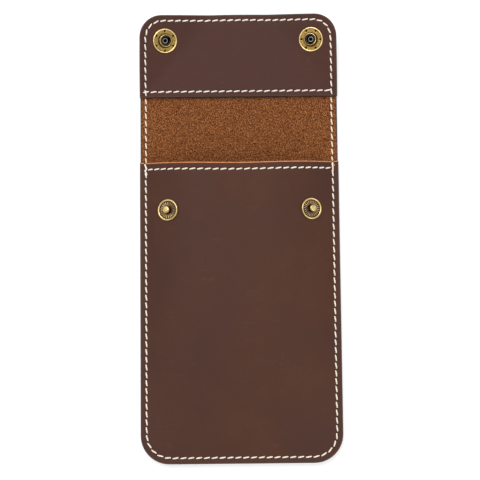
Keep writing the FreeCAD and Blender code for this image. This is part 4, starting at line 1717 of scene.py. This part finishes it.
@dataclass(frozen=True)
class Snap:
    """One ring snap: cap, socket and spring on the flap, stud and post on the pocket."""

    work: Leatherwork
    side: Side
    feel: float = 0.5
    socket_sides: int = 120
    dimples: int = 6
    left_dimple: float = 99.0
    right_dimple: float = 110.0
    dimple_circle: float = 3.88
    dimple_radius: float = 0.36
    dimple_flat: float = 0.75
    dimple_edge: float = 1.35
    dimple_depth: float = 0.27
    dish_low: float = 0.5
    dish_high: float = 0.7
    flutes: int = 24
    flute_sides: int = 6
    flute_start: float = 1.45
    flute_end: float = 3.45
    flute_floor: float = 0.3
    flute_top: float = 0.56
    flute_depth: float = 0.07
    flute_patina: float = 0.45
    tube_rise: float = 0.8
    tube_steel: float = 0.45
    wire: float = 0.14
    wire_sides: int = 10
    spring_ring: float = 1.78
    spring_height: float = 1.75
    spring_sweep: float = math.radians(310)
    spring_steps: int = 48
    spring_patina: float = 0.6

    def seat(self, height: Height, x: float, y: float) -> Matrix:
        """Find a seat on an upper side of leather.

        Args:
            height: that side.
            x: place across the pouch.
            y: place along the pouch.

        Returns:
            Placement with Z straight out of the leather, sunk a little.
        """
        step = self.feel
        right = Vector((2 * step, 0, height(x + step, y) - height(x - step, y)))
        ahead = Vector((0, 2 * step, height(x, y + step) - height(x, y - step)))
        out = right.cross(ahead).normalized()
        base = Vector((x, y, height(x, y))) - out * self.work.sizes.seat_depth
        return Matrix.Translation(base) @ out.to_track_quat("Z", "Y").to_matrix().to_4x4()

    def behind(self, seat: Matrix, stack: float) -> Matrix:
        """Find the place on the far side of the leather under a seat.

        Args:
            seat: the seat.
            stack: thickness of the leather, straight down.

        Returns:
            Placement with Z looking back, sunk as the seat is.
        """
        out = (seat.to_3x3() @ Vector((0, 0, 1))).normalized()
        base = seat.translation + out * (2 * self.work.sizes.seat_depth - stack * out.z)
        return Matrix.Translation(base) @ (-out).to_track_quat("Z", "Y").to_matrix().to_4x4()

    def socket(self) -> BMesh:
        """Shell with a ring of dimples round the collar.

        Returns:
            Its mesh.
        """
        mesh = turned(SOCKET, self.socket_sides)
        worn = mesh.verts.layers.float[PATINA]
        first = self.left_dimple if self.side is Side.LEFT else self.right_dimple
        for number in range(self.dimples):
            angle = math.radians(first) + math.tau * number / self.dimples
            centre = Vector((math.cos(angle), math.sin(angle))) * self.dimple_circle
            for vert in (vert for vert in mesh.verts if self.dish_low < vert.co.z < self.dish_high):
                away = (vert.co.xy - centre).length / self.dimple_radius
                if away < self.dimple_edge:
                    depth = 1 - share_of(away, self.dimple_flat, self.dimple_edge - self.dimple_flat)
                    vert.co.z -= self.dimple_depth * depth
                    vert[worn] = max(vert[worn], depth)
        return mesh

    def stud(self) -> BMesh:
        """Raised rim, fluted dish, neck and knob.

        Returns:
            Their mesh.
        """
        mesh = turned(STUD, self.flutes * self.flute_sides)
        worn = mesh.verts.layers.float[PATINA]
        for vert in mesh.verts:
            in_dish = self.flute_start < vert.co.xy.length < self.flute_end
            if in_dish and self.flute_floor < vert.co.z < self.flute_top:
                wave = math.cos(math.atan2(vert.co.y, vert.co.x) * self.flutes)
                vert.co.z += self.flute_depth * wave
                vert[worn] = share_of(vert[worn] - self.flute_patina * wave, 0.0, 1.0)
        return mesh

    def cap(self, stack: float) -> BMesh:
        """Domed cap with the tube that clamps the socket.

        Args:
            stack: distance from the cap's seat to the socket's.

        Returns:
            Its mesh, its tube in steel.
        """
        end = -(stack + self.tube_rise)
        bore = [(radius, end + height, patina) for radius, height, patina in CAP_BORE]
        mesh = turned([*bore, *CAP_DOME])
        for face in mesh.faces:
            if max(vert.co.z for vert in face.verts) < end + self.tube_steel:
                face.material_index = TUBE_SLOT
        return mesh

    def spring(self) -> BMesh:
        """Grip wire in the socket's bore, bent to a ring with a gap.

        Returns:
            Its mesh.
        """
        mesh = bmesh.new()
        worn = mesh.verts.layers.float.new(PATINA)
        start = Matrix.Translation((self.spring_ring, 0, self.spring_height))
        end = bmesh.ops.create_circle(
            mesh, segments=self.wire_sides, radius=self.wire, cap_ends=True,
            matrix=start @ Matrix.Rotation(math.pi / 2, 4, "X"),
        )["verts"]
        face = end[0].link_faces[0]
        bmesh.ops.spin(
            mesh, geom=[face, *face.edges, *face.verts], cent=(0, 0, 0), axis=(0, 0, 1),
            angle=self.spring_sweep, steps=self.spring_steps,
        )
        bmesh.ops.recalc_face_normals(mesh, faces=mesh.faces)
        for vert in mesh.verts:
            vert[worn] = self.spring_patina
        return mesh

    def build(self) -> None:
        """Make the five pieces of this snap and set them on their bodies."""
        w, s, f = self.work, self.work.sizes, self.work.finishes
        sign = self.side.value
        on_lining = sign * (s.half_width - s.socket_inset), s.tip_y - s.socket_setback
        on_front = sign * (s.half_width - s.stud_inset), s.mouth_y - s.stud_drop
        socket_seat = self.seat(w.surfaces.lining_top, *on_lining)
        cap_seat = self.behind(socket_seat, s.hide + s.lining_hide)
        clamped = (socket_seat.translation - cap_seat.translation).length
        stud_seat = self.seat(w.surfaces.dome, *on_front)
        inside = self.behind(stud_seat, s.front_hide).translation
        post_seat = Matrix.Translation(inside) @ stud_seat.to_3x3().to_4x4()
        for stem, mesh, seat, body, slot, metal in (
            ("socket", self.socket(), socket_seat, "flap", "snap_metal", f.brass),
            ("socket_spring", self.spring(), socket_seat, "flap", "spring_wire", f.steel),
            ("cap", self.cap(clamped), cap_seat, "flap", "snap_metal", f.brass),
            ("stud", self.stud(), stud_seat, "pocket", "snap_metal", f.bronze),
            ("stud_post", turned(POST), post_seat, "pocket", "snap_metal", f.brass),
        ):
            node = self.side.node(stem)
            bmesh.ops.transform(mesh, matrix=seat, verts=mesh.verts)
            mount(new_object(f"snap_{node}", mesh, [metal, f.steel]), body, slot, node)


# studio


@dataclass(frozen=True)
class Lamp:
    """Square soft lamp that looks at the pouch. Place and width are in metres."""

    name: str
    place: tuple[float, float, float]
    width: float
    power: float

    def build(self) -> None:
        """Hang the lamp."""
        light = bpy.data.lights.new(self.name, "AREA")
        light.shape = "SQUARE"
        light.size = self.width
        light.energy = self.power
        lamp = bpy.data.objects.new(self.name, light)
        lamp.location = self.place
        lamp.rotation_euler = Vector(self.place).to_track_quat("Z", "Y").to_euler()
        bpy.context.scene.collection.objects.link(lamp)


@dataclass(frozen=True)
class Studio:
    """Pale table, soft lamps and the camera above."""

    table_level: float = -0.2
    table_half: float = 1500.0
    table_color: Color = (0.62, 0.62, 0.62, 1)
    table_roughness: float = 0.9
    table_glow: float = 0.5
    sky_level: float = 0.6
    lamps: tuple[Lamp, ...] = (
        Lamp("overhead", (-0.25, 0.45, 0.95), 0.7, 7.8),
        Lamp("fill", (0.6, -0.5, 0.8), 0.6, 3.2),
    )
    distance: float = 650.0
    elevation: float = math.radians(83.0)
    roll: float = math.radians(-0.6)
    lens: float = 121.85
    sensor: float = 36.0
    aim: tuple[float, float, float] = (0.0, -2.0, 4.0)

    def table(self) -> None:
        """Wide pale table top that shows the object's shadow."""
        mesh = bmesh.new()
        bmesh.ops.create_grid(mesh, x_segments=1, y_segments=1, size=self.table_half)
        bmesh.ops.translate(mesh, vec=(0, 0, self.table_level), verts=mesh.verts)
        shader = Shader("table_top")
        shader.finish(self.table_color, self.table_roughness, Specular_IOR_Level=0.0)
        strength = shader.times(shader.seen_plainly(), self.table_glow)
        glow = shader.node("ShaderNodeEmission", {"Color": WHITE, "Strength": strength})
        both = shader.node("ShaderNodeAddShader", {0: shader.skin.outputs[0], 1: glow.outputs[0]})
        shader.feed(shader.output, {"Surface": both.outputs[0]})
        new_object("table_top", mesh, [shader.material])

    def sky(self) -> None:
        """White surround, dimmer for the rays that only light."""
        world = bpy.data.worlds.new("studio")
        world.use_nodes = True
        nodes = Nodes(world.node_tree)
        level = nodes.worked_out("MULTIPLY_ADD", nodes.seen_plainly(), 1 - self.sky_level, self.sky_level)
        nodes.feed(world.node_tree.nodes["Background"], {"Color": WHITE, "Strength": level})
        bpy.context.scene.world = world

    def camera(self) -> None:
        """Long lens almost straight above."""
        data = bpy.data.cameras.new("camera")
        data.lens = self.lens
        data.sensor_width = self.sensor
        camera = bpy.data.objects.new("camera", data)
        back = Vector((0, -math.cos(self.elevation), math.sin(self.elevation)))
        camera.location = (Vector(self.aim) + back * self.distance) * MM
        turn = (-back).to_track_quat("-Z", "Y").to_matrix() @ Matrix.Rotation(self.roll, 3, "Z")
        camera.rotation_euler = turn.to_euler()
        bpy.context.scene.collection.objects.link(camera)
        bpy.context.scene.camera = camera

    def build(self) -> None:
        """Set the table, the light and the camera."""
        bpy.context.scene.view_settings.view_transform = "Standard"
        self.sky()
        self.table()
        for lamp in self.lamps:
            lamp.build()
        self.camera()


def main() -> None:
    """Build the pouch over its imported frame."""
    logging.basicConfig(level=logging.INFO, format="%(message)s")
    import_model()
    sizes = Measures.from_frame()
    finishes = Finishes.build()
    work = Leatherwork(sizes, Surfaces(sizes), finishes, Stitching(finishes))
    for part in (Pocket(work), FoldZone(work), Flap(work), *(Snap(work, side) for side in Side)):
        part.build()
    Studio().build()
    bpy.context.view_layer.update()


if __name__ == "__main__":
    main()
